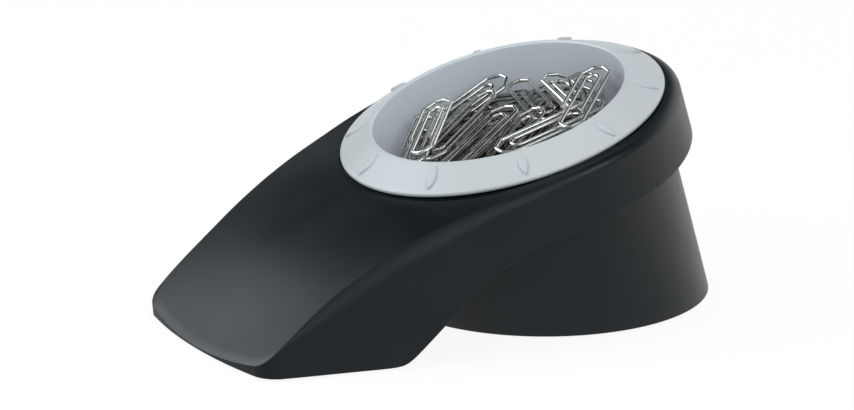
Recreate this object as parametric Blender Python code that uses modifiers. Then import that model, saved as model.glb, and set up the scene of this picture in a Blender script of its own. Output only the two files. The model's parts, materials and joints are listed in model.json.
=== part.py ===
"""Desk holder for paper clips: a tilted round base, a slipper-shaped hood and a grey dish that turns and lifts out.

Run with: blender --background --python part.py

Lengths are in metres, +Z is up and the object stands on z = 0. The tongue points along -X and the object is
symmetric about y = 0. The round parts share one axis, the dish axis, which leans towards the tongue. Sizes on
that axis are given in its own frame: p points away from the tongue in the rim plane, y sideways and h up the axis
from the plane of the dish's outer rim.
"""

import math

import bmesh
import bpy
import numpy as np
from mathutils import Matrix, Vector

# Clearances
GAP = 0.0003
HOLE_CLEARANCE = 0.0003

# Dish axis
TILT = math.radians(15.9)
RIM_HEIGHT = 0.0472

# Dish
MOUTH_RADIUS = 0.0318
LIP_RADIUS = 0.0007
FLANGE_RISE = 0.0040
FLANGE_EDGE = 0.0013
FLANGE_THICKNESS = 0.0015
FLANGE_OVERHANG = 0.0021
FLANGE_FOOT = 0.0024
DISH_WALL = 0.0012
BOWL_DEPTH = 0.0220
BOWL_DRAFT = math.radians(4.0)
BOWL_CORNER = 0.0045
BEAD_WIDTH = 0.0006
BEAD_HEIGHT = 0.0012
GRIP_COUNT = 10
GRIP_LENGTH = 0.0072
GRIP_WIDTH = 0.0024
GRIP_HEIGHT = 0.0007
GRIP_TURN = math.radians(-3.4)

# Magnet ring under the flange
MAGNET_WIDTH = 0.0015
MAGNET_HEIGHT = 0.0040

# Hood
COLLAR_WALL = 0.0015
COLLAR_DEPTH = 0.0060
LAND_THICKNESS = 0.0026
RECESS_GAP = 0.0005
REAR_RIM = 0.0028
SHOULDER_DROP = 0.0003
REAR_DROP = 0.0012
HOOD_WALL = 0.0022
REAR_DRAFT = 0.010
TONGUE_DRAFT = 0.15
SKIRT_DEPTH = 0.0161
SKIRT_STRAIGHT = 0.0148
SKIRT_ARC_RADIUS = 0.055
SKIRT_TURN = math.radians(28.0)
TONGUE_LENGTH = 0.0502
TONGUE_TAPER = math.radians(9.2)
TONGUE_SLOPE = 0.085
SLOPE_START = 0.012
BEND_START = 0.036
CROWN = 0.0018
CROWN_FADE = 0.0300
NOSE_RADIUS = 0.131
NOSE_CORNER = 0.0055
NOSE_LIP = 0.0006
REAR_EDGE_RADIUS = 0.0026
SIDE_EDGE_RADIUS = 0.0032
NOSE_EDGE_RADIUS = 0.0003
TONGUE_CREASE = math.radians(28.0)

# Base and bottom plate
BASE_WALL = 0.0020
RIM_CLEAR = 0.0005
PLATE_RECESS = 0.0013
PLATE_THICKNESS = 0.0020

# Ballast disc on its peg
BALLAST_THICKNESS = 0.0040
BALLAST_MARGIN = 0.0012
PEG_RADIUS = 0.0040

# Screws and their posts
SCREW_COUNT = 3
SCREW_RADIUS = 0.0013
SCREW_LENGTH = 0.0070
SCREW_HEAD_RADIUS = 0.0026
SCREW_HEAD_HEIGHT = 0.0012
SCREW_SLOT_WIDTH = 0.0006
SCREW_SLOT_DEPTH = 0.0005
POST_WALL = 0.0016
POST_INSET = 0.0043
WEB_THICKNESS = 0.0016
WEB_STEP = 0.0005
POST_CAP = 0.0015

# Feet
FOOT_RADIUS = 0.0055
FOOT_COUNT = 3
FOOT_MARGIN = 0.0040
FRONT_FOOT_RADIUS = 0.0040
FRONT_FOOT_SETBACK = 0.0180
FRONT_FOOT_SPREAD = 0.0180

# Paper clips
CLIP_LENGTH = 0.0315
CLIP_WIDTH = 0.0088
CLIP_STEP = 0.0020
WIRE_RADIUS = 0.00055
# One row for each clip dropped into the bowl, lowest first: how far out it lies as a share of its room, the
# bearing it lies on, its heading, lean and roll. Angles are in degrees.
CLIP_DROPS = (
    (0.4, 80, -18, 0, 0), (0.45, -128, 134, 0, 0), (0.81, 71, 160, 0, 0), (0.81, -21, -117, 0, 0),
    (0.83, -132, 134, 0, 0), (0.81, 76, -166, 0, 0), (0.93, -54, -116, 0, 0), (0.96, 165, 68, 0, -2),
    (0.8, -145, 36, 0, 0), (0.91, 146, 110, 0, 0), (0.84, -11, 100, 0, 0), (0.66, -116, 157, 0, 0),
    (0.42, 94, 104, 0, 0), (0.93, 81, 79, 0, 0), (0.71, -109, -78, 0, 0), (0.77, 168, -91, 0, 0),
    (1, 0, -80, 0, 0), (0.92, -36, -86, 0, 0), (0.76, 162, 36, 0, 0), (0.89, -57, 79, 0, 0),
    (1, 94, -2, 0, 0), (0.92, 2, -94, 0, 0), (0.82, -135, -133, 0, 0), (0.96, 100, 174, 0, 0),
    (0.93, -84, -133, 0, 0), (0.35, -121, -134, 0, 0), (0.92, 4, -77, 0, 0), (0.68, 168, -147, 0, 0),
    (0.76, 151, -162, 0, 0), (0.68, -29, 71, 0, 0), (0.8, -133, -148, 0, 0), (0.98, 82, -180, 0, 0),
    (0.69, -108, 44, 0, 0), (0.87, -36, 70, 0, 0), (0.85, -178, 26, 0, 14), (0.94, -88, -158, 3, 6),
    (0.96, 108, 22, -6, -2), (0.76, 22, -104, -2, 2), (0.97, -158, -160, 5, 2), (0.97, -24, 64, -2, 13),
    (0.58, 140, -156, 6, 7), (0.81, -76, -180, -1, -5),
)

# Sizes that follow from the ones above
NECK_RADIUS = MOUTH_RADIUS + DISH_WALL
MAGNET_INNER = NECK_RADIUS + GAP
MAGNET_OUTER = MAGNET_INNER + MAGNET_WIDTH
COLLAR_INNER = MAGNET_OUTER + GAP
COLLAR_OUTER = COLLAR_INNER + COLLAR_WALL
BASE_INNER = COLLAR_OUTER + GAP
BASE_RADIUS = BASE_INNER + BASE_WALL
FLANGE_RADIUS = BASE_RADIUS + FLANGE_OVERHANG
RECESS_RADIUS = FLANGE_RADIUS + RECESS_GAP
HOOD_RADIUS = RECESS_RADIUS + REAR_RIM
TONGUE_REACH = HOOD_RADIUS + TONGUE_LENGTH
FLANGE_SLOPE = math.atan2(FLANGE_RISE, FLANGE_RADIUS - MOUTH_RADIUS - LIP_RADIUS)
LAND_HEIGHT = -FLANGE_EDGE - GAP
LAND_UNDERSIDE = LAND_HEIGHT - LAND_THICKNESS
COLLAR_BOTTOM = LAND_UNDERSIDE - COLLAR_DEPTH
BASE_TOP = LAND_UNDERSIDE - GAP
MAGNET_TOP = (FLANGE_RADIUS - MAGNET_OUTER) * math.tan(FLANGE_SLOPE) - FLANGE_THICKNESS - GAP
MAGNET_BOTTOM = MAGNET_TOP - MAGNET_HEIGHT
BEAD_TOP = MAGNET_BOTTOM - GAP
BOWL_FLOOR = FLANGE_RISE - BOWL_DEPTH
PLATE_BOTTOM = RIM_CLEAR + PLATE_RECESS
PLATE_TOP = PLATE_BOTTOM + PLATE_THICKNESS
FOOT_TOP = PLATE_BOTTOM - GAP
PILOT_RADIUS = SCREW_RADIUS + HOLE_CLEARANCE
POST_RADIUS = PILOT_RADIUS + POST_WALL
POST_CIRCLE = BASE_INNER - POST_INSET
SCREW_TIP = FOOT_TOP + SCREW_LENGTH
POST_TOP = SCREW_TIP + GAP + POST_CAP
BALLAST_RADIUS = POST_CIRCLE - POST_RADIUS - BALLAST_MARGIN
FOOT_CIRCLE = BASE_INNER - FOOT_RADIUS - FOOT_MARGIN

# The object's middle is at x = 0, half way between the nose and the back of the base at the table.
NOSE_DROP = (RIM_HEIGHT - RIM_CLEAR - NOSE_LIP - TONGUE_REACH * math.sin(TILT)) / math.cos(TILT)
NOSE_X = -TONGUE_REACH * math.cos(TILT) + NOSE_DROP * math.sin(TILT)
BACK_X = (RIM_HEIGHT - RIM_CLEAR) * math.tan(TILT) + BASE_RADIUS / math.cos(TILT)
AXIS_X = -(NOSE_X + BACK_X) / 2
# The tongue bends down so that its nose ends one lip above the table.
BEND_DROP = NOSE_DROP - SHOULDER_DROP - TONGUE_SLOPE * (TONGUE_REACH - SLOPE_START / 2)
BEND_RADIUS = (TONGUE_REACH - BEND_START) ** 2 / (2 * BEND_DROP)

ROUND_STEPS = 60
SMALL_STEPS = 20
MERGE = 0.00001

# Finishes: name, colour, roughness, metallic
DARK_PLASTIC = ("dark_plastic", (0.022, 0.025, 0.028), 0.48, 0.0)
PALE_PLASTIC = ("pale_plastic", (0.53, 0.58, 0.60), 0.42, 0.0)
FERRITE = ("ferrite", (0.07, 0.07, 0.075), 0.55, 0.1)
BALLAST_STEEL = ("ballast_steel", (0.42, 0.43, 0.44), 0.38, 1.0)
SCREW_STEEL = ("screw_steel", (0.55, 0.55, 0.56), 0.30, 1.0)
CLIP_STEEL = ("clip_steel", (0.74, 0.73, 0.71), 0.22, 1.0)
RUBBER = ("rubber", (0.03, 0.03, 0.03), 0.80, 0.0)


def smooth_step(low, high, value):
    t = min(1.0, max(0.0, (value - low) / (high - low)))
    return t * t * (3 - 2 * t)


def between(start, end, share):
    return tuple(Vector(start).lerp(Vector(end), share))


def arc(centre, radius, start, end, steps):
    """Points on an arc, angles in radians."""
    angles = [start + (end - start) * i / steps for i in range(steps + 1)]
    return [(centre[0] + radius * math.cos(a), centre[1] + radius * math.sin(a)) for a in angles]


def axis_x(z):
    """World x of the dish axis at height z."""
    return AXIS_X + (RIM_HEIGHT - z) * math.tan(TILT)


def world_height(p, h):
    return RIM_HEIGHT + p * math.sin(TILT) + h * math.cos(TILT)


def world_x(p, h):
    return AXIS_X + p * math.cos(TILT) - h * math.sin(TILT)


def clear_scene():
    for obj in list(bpy.data.objects):
        bpy.data.objects.remove(obj)


def new_collection(name):
    made = bpy.data.collections.new(name)
    bpy.context.scene.collection.children.link(made)
    return made


def material(finish):
    """The named Principled finish, made once."""
    name, colour, roughness, metallic = finish
    made = bpy.data.materials.get(name)
    if made is None:
        made = bpy.data.materials.new(name)
        made.use_nodes = True
        shader = made.node_tree.nodes["Principled BSDF"]
        shader.inputs["Base Color"].default_value = (*colour, 1.0)
        shader.inputs["Roughness"].default_value = roughness
        shader.inputs["Metallic"].default_value = metallic
        made.diffuse_color = (*colour, 1.0)
    return made


def axis_empty(name, group):
    """An empty at the centre of the dish's rim, with its Z along the dish axis and its X along p."""
    empty = bpy.data.objects.new(name, None)
    empty.location = (AXIS_X, 0.0, RIM_HEIGHT)
    empty.rotation_euler = (0.0, -TILT, 0.0)
    group.objects.link(empty)
    return empty


def finished(obj, group, parent=None, finish=None):
    group.objects.link(obj)
    obj.parent = parent
    if finish is not None:
        obj.data.materials.append(material(finish))
    return obj


def mesh_object(name, shape, group, parent=None, finish=None):
    """Turns a bmesh into an object, shaded smooth except at its edges."""
    mesh = bpy.data.meshes.new(name)
    shape.to_mesh(mesh)
    shape.free()
    mesh.shade_smooth()
    mesh.set_sharp_from_angle(angle=math.radians(35))
    return finished(bpy.data.objects.new(name, mesh), group, parent, finish)


def cylinder(name, radius, bottom, top, centre, group, parent=None, finish=None, steps=SMALL_STEPS):
    shape = bmesh.new()
    bmesh.ops.create_cone(shape, cap_ends=True, segments=steps, radius1=radius, radius2=radius, depth=top - bottom)
    bmesh.ops.translate(shape, verts=shape.verts, vec=(centre[0], centre[1], (bottom + top) / 2))
    return mesh_object(name, shape, group, parent, finish)


def box(name, low, high, group, parent=None):
    shape = bmesh.new()
    bmesh.ops.create_cube(shape, size=1.0)
    bmesh.ops.scale(shape, verts=shape.verts, vec=Vector(high) - Vector(low))
    bmesh.ops.translate(shape, verts=shape.verts, vec=(Vector(low) + Vector(high)) / 2)
    return mesh_object(name, shape, group, parent)


def turned(name, profile, closed, group, parent=None, finish=None, steps=ROUND_STEPS, location=(0, 0, 0)):
    """A profile of (radius, height) points turned about Z. It runs down the outer side."""
    shape = bmesh.new()
    points = [shape.verts.new((radius, 0.0, height)) for radius, height in profile]
    last = len(points) if closed else len(points) - 1
    for i in range(last):
        shape.edges.new((points[i], points[(i + 1) % len(points)]))
    obj = mesh_object(name, shape, group, parent, finish)
    obj.location = location
    screw = obj.modifiers.new("turn", "SCREW")
    screw.steps = screw.render_steps = steps
    screw.use_merge_vertices = True
    screw.merge_threshold = MERGE
    screw.use_smooth_shade = True
    return obj


def combine(obj, other, operation):
    """Joins, cuts or intersects obj with a helper, which stays hidden."""
    modifier = obj.modifiers.new(f"{operation.lower()}_{other.name}", "BOOLEAN")
    modifier.operation = operation
    modifier.solver = "EXACT"
    modifier.object = other
    other.hide_render = True
    other.display_type = "WIRE"


def around(count, radius, centre_x, turn=0.0):
    """Places of a round pattern seen from above, stretched along X as the tilted base is."""
    angles = [turn + 2 * math.pi * i / count for i in range(count)]
    return [(centre_x + radius / math.cos(TILT) * math.cos(a), radius * math.sin(a)) for a in angles]


def side_half_width(p):
    """Half the width of the hood's shoulder line beside p."""
    if p > -HOOD_RADIUS * math.sin(TONGUE_TAPER):
        return math.sqrt(max(HOOD_RADIUS**2 - p**2, 0.0))
    return HOOD_RADIUS / math.cos(TONGUE_TAPER) + p * math.tan(TONGUE_TAPER)


def top_height(p, y):
    """Height of the hood's top: it sinks a little to the back, slopes then bends down to the nose, and is crowned
    between the dish and the nose."""
    back = max(-p, 0.0)
    ramp = min(back, SLOPE_START)
    slope = TONGUE_SLOPE * (ramp**2 / (2 * SLOPE_START) + back - ramp)
    bend = max(back - BEND_START, 0.0) ** 2 / (2 * BEND_RADIUS)
    across = min(1.0, abs(y) / max(side_half_width(p), MERGE))
    crown = CROWN * smooth_step(0.0, HOOD_RADIUS, back) * smooth_step(0.0, CROWN_FADE, TONGUE_REACH - back)
    rear = REAR_DROP * smooth_step(-HOOD_RADIUS, HOOD_RADIUS, p)
    return crown * (1 - across**2) - SHOULDER_DROP - rear - slope - bend


def roof_height(p, y):
    """Height of the hood's inner ceiling, level where the base stands under it."""
    return min(top_height(p, y) - HOOD_WALL / math.cos(TILT), LAND_UNDERSIDE)


def half_outline(offset):
    """The hood's plan outline at y >= 0 from back to nose, pushed outwards by offset."""
    nose_centre = -TONGUE_REACH + NOSE_RADIUS
    slope = math.tan(TONGUE_TAPER)
    # The corner's centre lies one corner radius inside both the side line and the nose arc.
    level = (HOOD_RADIUS - NOSE_CORNER) / math.cos(TONGUE_TAPER)
    a = 1 + slope**2
    b = 2 * (level * slope - nose_centre)
    c = nose_centre**2 + level**2 - (NOSE_RADIUS - NOSE_CORNER) ** 2
    corner_p = (-b - math.sqrt(b * b - 4 * a * c)) / (2 * a)
    corner = (corner_p, level + slope * corner_p)
    nose_angle = math.pi - math.atan2(corner[1], nose_centre - corner_p)
    side_angle = math.pi / 2 + TONGUE_TAPER
    rear = arc((0.0, 0.0), HOOD_RADIUS + offset, 0.0, side_angle, 17)
    turn = arc(corner, NOSE_CORNER + offset, side_angle, nose_angle, 4)
    nose = arc((nose_centre, 0.0), NOSE_RADIUS + offset, nose_angle, math.pi, 4)
    side = [between(rear[-1], turn[0], share) for share in (0.1, 0.2, 0.31, 0.43, 0.55, 0.67, 0.79, 0.90)]
    return rear + side + turn + nose[1:]


def full_outline(offset):
    half = half_outline(offset)
    return half + [(p, -y) for p, y in reversed(half[1:-1])]


def edge_radius(p):
    """Rounding of the hood's shoulder: soft at the back and broader along the sides, tight at the nose."""
    back = REAR_EDGE_RADIUS + (SIDE_EDGE_RADIUS - REAR_EDGE_RADIUS) * smooth_step(0.0, HOOD_RADIUS, -p)
    nose = smooth_step(TONGUE_REACH - 5 * NOSE_CORNER, TONGUE_REACH - NOSE_CORNER, -p)
    return back + (NOSE_EDGE_RADIUS - back) * nose


def edge_start(p):
    """Slope from which the shoulder's rounding runs: level with the top at the back, past a crease at the tongue."""
    return math.pi / 2 - TONGUE_CREASE * smooth_step(0.0, HOOD_RADIUS, -p)


def hood_rings():
    """Rings of points round the hood, from the collar's foot over the outside and back along the inside."""
    plan = full_outline(0.0)
    unit = full_outline(NOSE_EDGE_RADIUS)
    outward = [(Vector(b) - Vector(a)).normalized() for a, b in zip(plan, unit)]
    radii = [edge_radius(p) for p, _ in plan]
    starts = [edge_start(p) for p, _ in plan]

    def pushed(distances):
        return [tuple(Vector(point) + way * d) for point, way, d in zip(plan, outward, distances)]

    def circle(radius):
        return [tuple(Vector(point).normalized() * radius) for point in plan]

    def level(points, height):
        return [(p, y, height) for p, y in points]

    def shaped(points, height):
        return [(p, y, height(p, y)) for p, y in points]

    def toward(start, end, shares):
        return [[between(a, b, share) for a, b in zip(start, end)] for share in shares]

    recess = circle(RECESS_RADIUS)
    rings = [
        level(circle(COLLAR_INNER), COLLAR_BOTTOM),
        level(circle(COLLAR_INNER), LAND_HEIGHT),
        level(recess, LAND_HEIGHT),
    ]
    shoulder = pushed([radius * (math.cos(start) - 1) for radius, start in zip(radii, starts)])
    for points in toward(recess, shoulder, (0.0, 0.16, 0.33, 0.50, 0.67, 0.84, 1.0)):
        rings.append(shaped(points, top_height))
    shoulder_heights = [height for _, _, height in rings[-1]]
    for share in (0.67, 0.33, 0.0):
        edge = pushed([radius * (math.cos(start * share) - 1) for radius, start in zip(radii, starts)])
        drops = [radius * (math.sin(start) - math.sin(start * share)) for radius, start in zip(radii, starts)]
        rings.append([(p, y, top - drop) for (p, y), top, drop in zip(edge, shoulder_heights, drops)])

    # The walls spread as they run down past the skirt line, which trims them later, most beside the tongue.
    wall_top = rings[-1]
    low_outer, low_inner = [], []
    for (p, y, height), way in zip(wall_top, outward):
        run = height - skirt_height(p) + 2 * HOOD_WALL
        spread = run * (REAR_DRAFT + (TONGUE_DRAFT - REAR_DRAFT) * smooth_step(0.0, HOOD_RADIUS, -p))
        foot = Vector((p, y, height - run))
        low_outer.append(tuple(foot + spread * way.to_3d()))
        low_inner.append(tuple(foot + (spread - HOOD_WALL) * way.to_3d()))
    rings += toward(wall_top, low_outer, (0.5, 1.0)) + [low_inner]

    ceiling = pushed([-HOOD_WALL] * len(plan))
    for points in toward(ceiling, circle(COLLAR_OUTER), (0.0, 0.2, 0.4, 0.6, 0.8, 1.0)):
        rings.append(shaped(points, roof_height))
    rings.append(level(circle(COLLAR_OUTER), COLLAR_BOTTOM))
    return rings


def skirt_height(p):
    """Height of the hood's lower edge: level at the back, then an arc and a straight run down to the table."""
    table = (RIM_CLEAR - RIM_HEIGHT) / math.cos(TILT) - p * math.tan(TILT)
    back = max(-p - SKIRT_STRAIGHT, 0.0)
    curved = min(back, SKIRT_ARC_RADIUS * math.sin(SKIRT_TURN))
    drop = SKIRT_ARC_RADIUS - math.sqrt(SKIRT_ARC_RADIUS**2 - curved**2)
    return max(-SKIRT_DEPTH - drop - (back - curved) * math.tan(SKIRT_TURN), table)


def skirt_cutter(group, parent):
    """A prism under the hood's lower edge and under the table line, seen from the side."""
    edge = [(2 * HOOD_RADIUS, -SKIRT_DEPTH)]
    middle = (-SKIRT_STRAIGHT, -SKIRT_DEPTH - SKIRT_ARC_RADIUS)
    edge += arc(middle, SKIRT_ARC_RADIUS, math.pi / 2, math.pi / 2 + SKIRT_TURN, 8)
    p, h = edge[-1]
    # The straight run meets the table line, which climbs in this frame as p falls.
    table = (RIM_CLEAR - RIM_HEIGHT) / math.cos(TILT)
    reach = (h - table + p * math.tan(TILT)) / (math.sin(SKIRT_TURN) + math.tan(TILT) * math.cos(SKIRT_TURN))
    foot = (p - reach * math.cos(SKIRT_TURN), h - reach * math.sin(SKIRT_TURN))
    far = -2 * TONGUE_REACH
    edge += [foot, (far, table - far * math.tan(TILT))]
    edge += [(far, -2 * TONGUE_REACH), (2 * HOOD_RADIUS, -2 * TONGUE_REACH)]
    shape = bmesh.new()
    near = [shape.verts.new((p, -2 * HOOD_RADIUS, h)) for p, h in edge]
    face = shape.faces.new(near)
    away = bmesh.ops.extrude_face_region(shape, geom=[face])
    moved = [item for item in away["geom"] if isinstance(item, bmesh.types.BMVert)]
    bmesh.ops.translate(shape, verts=moved, vec=(0.0, 4 * HOOD_RADIUS, 0.0))
    bmesh.ops.recalc_face_normals(shape, faces=shape.faces)
    return mesh_object("skirt_cutter", shape, group, parent)


def front_foot_places():
    """World places of the two feet under the tongue, with the frame p they lie at."""
    p = -TONGUE_REACH + FRONT_FOOT_SETBACK
    x = world_x(p, top_height(p, FRONT_FOOT_SPREAD))
    return p, [(x, -FRONT_FOOT_SPREAD), (x, FRONT_FOOT_SPREAD)]


def front_post(name, p, place, group):
    """A post for a front foot, cut off along the middle of the hood's roof."""
    y = place[1]

    def roof_middle(p_at, y_at):
        h = top_height(p_at, y_at)
        return Vector((world_x(p_at, h), y_at, world_height(p_at, h) - HOOD_WALL / (2 * math.cos(TILT))))

    step = FRONT_FOOT_RADIUS
    across_p = roof_middle(p + step, y) - roof_middle(p - step, y)
    across_y = roof_middle(p, y + step) - roof_middle(p, y - step)
    shape = bmesh.new()
    depth = RIM_HEIGHT - FOOT_TOP
    radius = FRONT_FOOT_RADIUS
    bmesh.ops.create_cone(shape, cap_ends=True, segments=SMALL_STEPS, radius1=radius, radius2=radius, depth=depth)
    bmesh.ops.translate(shape, verts=shape.verts, vec=(*place, FOOT_TOP + GAP + depth / 2))
    bmesh.ops.bisect_plane(
        shape,
        geom=shape.verts[:] + shape.edges[:] + shape.faces[:],
        plane_co=roof_middle(p, y),
        plane_no=across_p.cross(across_y).normalized(),
        clear_outer=True,
    )
    bmesh.ops.holes_fill(shape, edges=shape.edges[:])
    bmesh.ops.recalc_face_normals(shape, faces=shape.faces)
    return mesh_object(name, shape, group)


def make_hood(parts, cutters, axis):
    """The slipper-shaped cover: round collar for the dish, rim, skirt and the tongue that reaches the table."""
    rings = hood_rings()
    shape = bmesh.new()
    rows = [[shape.verts.new(point) for point in ring] for ring in rings]
    for lower, upper in zip(rows, rows[1:] + rows[:1]):
        for i in range(len(lower)):
            j = (i + 1) % len(lower)
            shape.faces.new((lower[i], lower[j], upper[j], upper[i]))
    bmesh.ops.recalc_face_normals(shape, faces=shape.faces)
    hood = mesh_object("hood", shape, parts, axis, DARK_PLASTIC)
    combine(hood, skirt_cutter(cutters, axis), "DIFFERENCE")
    p, places = front_foot_places()
    for side, place in zip(("left", "right"), places):
        combine(hood, front_post(f"front_post_{side}", p, place, cutters), "UNION")


def make_base(parts, cutters, axis):
    """The tilted tube that the hood sits on, with three screw posts inside its foot."""
    low = -2 * RIM_HEIGHT
    profile = [(BASE_INNER, low), (BASE_INNER, BASE_TOP), (BASE_RADIUS, BASE_TOP), (BASE_RADIUS, low)]
    base = turned("base_tube", profile, True, parts, axis, DARK_PLASTIC)
    ground = 4 * RIM_HEIGHT
    under = box("under_table", (-ground, -ground, -ground), (ground, ground, RIM_CLEAR), cutters)
    combine(base, under, "DIFFERENCE")
    walls = around(SCREW_COUNT, (BASE_INNER + BASE_RADIUS) / 2, post_axis_x())
    for number, (place, wall) in enumerate(zip(screw_places(), walls), start=1):
        post = cylinder(f"post_{number}", POST_RADIUS, PLATE_TOP + GAP, POST_TOP, place, cutters)
        combine(base, post, "UNION")
        combine(base, post_web(f"post_web_{number}", place, wall, cutters), "UNION")
    for number, place in enumerate(screw_places(), start=1):
        top = SCREW_TIP + GAP
        pilot = cylinder(f"pilot_{number}", PILOT_RADIUS, PLATE_BOTTOM, top, place, cutters)
        combine(base, pilot, "DIFFERENCE")


def post_axis_x():
    return axis_x((PLATE_TOP + POST_TOP) / 2)


def screw_places():
    return around(SCREW_COUNT, POST_CIRCLE, post_axis_x())


def post_web(name, start, end, group):
    """An upright web from a post to the middle of the tube's wall."""
    run = Vector(end) - Vector(start)
    low, high = PLATE_TOP + GAP + WEB_STEP, POST_TOP - WEB_STEP
    web = box(name, (0.0, -WEB_THICKNESS / 2, low), (run.length, WEB_THICKNESS / 2, high), group)
    web.location = (*start, 0.0)
    web.rotation_euler = (0.0, 0.0, math.atan2(run.y, run.x))
    return web


def make_bottom_plate(parts, cutters, axis):
    """The plate that closes the base, with a peg for the ballast and holes for the screws."""
    plate = cylinder("bottom_plate", BASE_INNER - GAP, -2 * RIM_HEIGHT, BASE_TOP, (0, 0), parts, axis,
                     DARK_PLASTIC, ROUND_STEPS)
    reach = 2 * BASE_RADIUS
    slab = box("plate_slab", (AXIS_X - reach, -reach, PLATE_BOTTOM), (AXIS_X + reach, reach, PLATE_TOP), cutters)
    combine(plate, slab, "INTERSECT")
    peg_top = PLATE_TOP + GAP + BALLAST_THICKNESS
    peg = cylinder("ballast_peg", PEG_RADIUS, PLATE_BOTTOM + GAP, peg_top, (ballast_x(), 0), cutters)
    combine(plate, peg, "UNION")
    for number, place in enumerate(screw_places(), start=1):
        hole = cylinder(f"plate_hole_{number}", PILOT_RADIUS, 0.0, POST_TOP, place, cutters)
        combine(plate, hole, "DIFFERENCE")


def ballast_x():
    return axis_x(PLATE_TOP + BALLAST_THICKNESS / 2)


def make_ballast(parts):
    """The steel disc that keeps the holder from tipping towards its tongue."""
    bottom = PLATE_TOP + GAP
    top = bottom + BALLAST_THICKNESS
    bore = PEG_RADIUS + HOLE_CLEARANCE
    profile = [(bore, bottom), (bore, top), (BALLAST_RADIUS, top), (BALLAST_RADIUS, bottom)]
    turned("ballast_disc", profile, True, parts, None, BALLAST_STEEL, location=(ballast_x(), 0, 0))


def make_screws(parts, cutters):
    head_bottom = FOOT_TOP - SCREW_HEAD_HEIGHT
    for number, (x, y) in enumerate(screw_places(), start=1):
        profile = [
            (0.0, SCREW_TIP),
            (SCREW_RADIUS * 0.6, SCREW_TIP),
            (SCREW_RADIUS, SCREW_TIP - SCREW_RADIUS),
            (SCREW_RADIUS, FOOT_TOP),
            (SCREW_HEAD_RADIUS, FOOT_TOP),
            (SCREW_HEAD_RADIUS, head_bottom),
            (0.0, head_bottom),
        ]
        screw = turned(f"plate_screw_{number}", profile, False, parts, None, SCREW_STEEL, SMALL_STEPS, (x, y, 0))
        low = (x - 2 * SCREW_HEAD_RADIUS, y - SCREW_SLOT_WIDTH / 2, 0.0)
        high = (x + 2 * SCREW_HEAD_RADIUS, y + SCREW_SLOT_WIDTH / 2, head_bottom + SCREW_SLOT_DEPTH)
        combine(screw, box(f"slot_{number}", low, high, cutters), "DIFFERENCE")


def make_feet(parts):
    """Rubber pads: a ring of them under the bottom plate and two under the tongue."""
    places = around(FOOT_COUNT, FOOT_CIRCLE, axis_x(PLATE_BOTTOM), math.pi / SCREW_COUNT)
    for number, place in enumerate(places, start=1):
        cylinder(f"base_foot_{number}", FOOT_RADIUS, 0.0, FOOT_TOP, place, parts, None, RUBBER)
    for side, place in zip(("left", "right"), front_foot_places()[1]):
        cylinder(f"front_foot_{side}", FRONT_FOOT_RADIUS, 0.0, FOOT_TOP, place, parts, None, RUBBER)


def bowl_bottom_radius():
    """Inner radius of the bowl's wall where its floor would meet it."""
    return MOUTH_RADIUS - (BOWL_DEPTH - LIP_RADIUS) * math.tan(BOWL_DRAFT)


def flange_underside(radius):
    return (FLANGE_RADIUS - radius) * math.tan(FLANGE_SLOPE) - FLANGE_THICKNESS


def dish_profile():
    """Half section of the dish: bowl, neck with its bead, and the sloping flange."""
    inner_foot = bowl_bottom_radius()
    corner = (inner_foot - BOWL_CORNER, BOWL_FLOOR + BOWL_CORNER)
    inner_corner = arc(corner, BOWL_CORNER, -math.pi / 2, -BOWL_DRAFT, 4)
    outer_corner = arc(corner, BOWL_CORNER + DISH_WALL, -BOWL_DRAFT, -math.pi / 2, 4)
    lip_centre = (MOUTH_RADIUS + LIP_RADIUS, FLANGE_RISE - LIP_RADIUS)
    lip = arc(lip_centre, LIP_RADIUS, math.pi, math.pi / 2 - FLANGE_SLOPE, 4)
    round_edge = FLANGE_EDGE / 2
    edge_centre = (FLANGE_RADIUS - round_edge, -round_edge)
    edge = arc(edge_centre, round_edge, math.pi / 2 - FLANGE_SLOPE, -math.pi / 2, 4)
    foot_end = FLANGE_RADIUS - FLANGE_FOOT
    underside = [
        (foot_end, -FLANGE_EDGE),
        (foot_end, flange_underside(foot_end)),
        (NECK_RADIUS, flange_underside(NECK_RADIUS)),
        (NECK_RADIUS, BEAD_TOP),
        (NECK_RADIUS + BEAD_WIDTH, BEAD_TOP),
        (NECK_RADIUS + BEAD_WIDTH, BEAD_TOP - BEAD_HEIGHT / 2),
        (NECK_RADIUS, BEAD_TOP - BEAD_HEIGHT),
    ]
    inside = [(0.0, BOWL_FLOOR)] + inner_corner + lip
    outside = edge + underside + outer_corner + [(0.0, BOWL_FLOOR - DISH_WALL)]
    return inside + outside


def make_dish(parts, cutters, axis):
    """The dish for the clips, with raised grips on its flange."""
    dish = turned("dish", dish_profile(), False, parts, axis, PALE_PLASTIC)
    middle = (FLANGE_RADIUS + MOUTH_RADIUS + LIP_RADIUS) / 2
    height = (FLANGE_RADIUS - middle) * math.tan(FLANGE_SLOPE)
    for number in range(GRIP_COUNT):
        shape = bmesh.new()
        bmesh.ops.create_uvsphere(shape, u_segments=10, v_segments=6, radius=1.0)
        bmesh.ops.scale(shape, verts=shape.verts, vec=(GRIP_LENGTH / 2, GRIP_WIDTH / 2, GRIP_HEIGHT))
        place = Matrix.Rotation(GRIP_TURN + 2 * math.pi * number / GRIP_COUNT, 4, "Z")
        place = place @ Matrix.Translation((middle, 0.0, height)) @ Matrix.Rotation(FLANGE_SLOPE, 4, "Y")
        bmesh.ops.transform(shape, matrix=place, verts=shape.verts)
        grip = mesh_object(f"grip_{number + 1:02d}", shape, cutters, axis)
        combine(dish, grip, "UNION")


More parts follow.
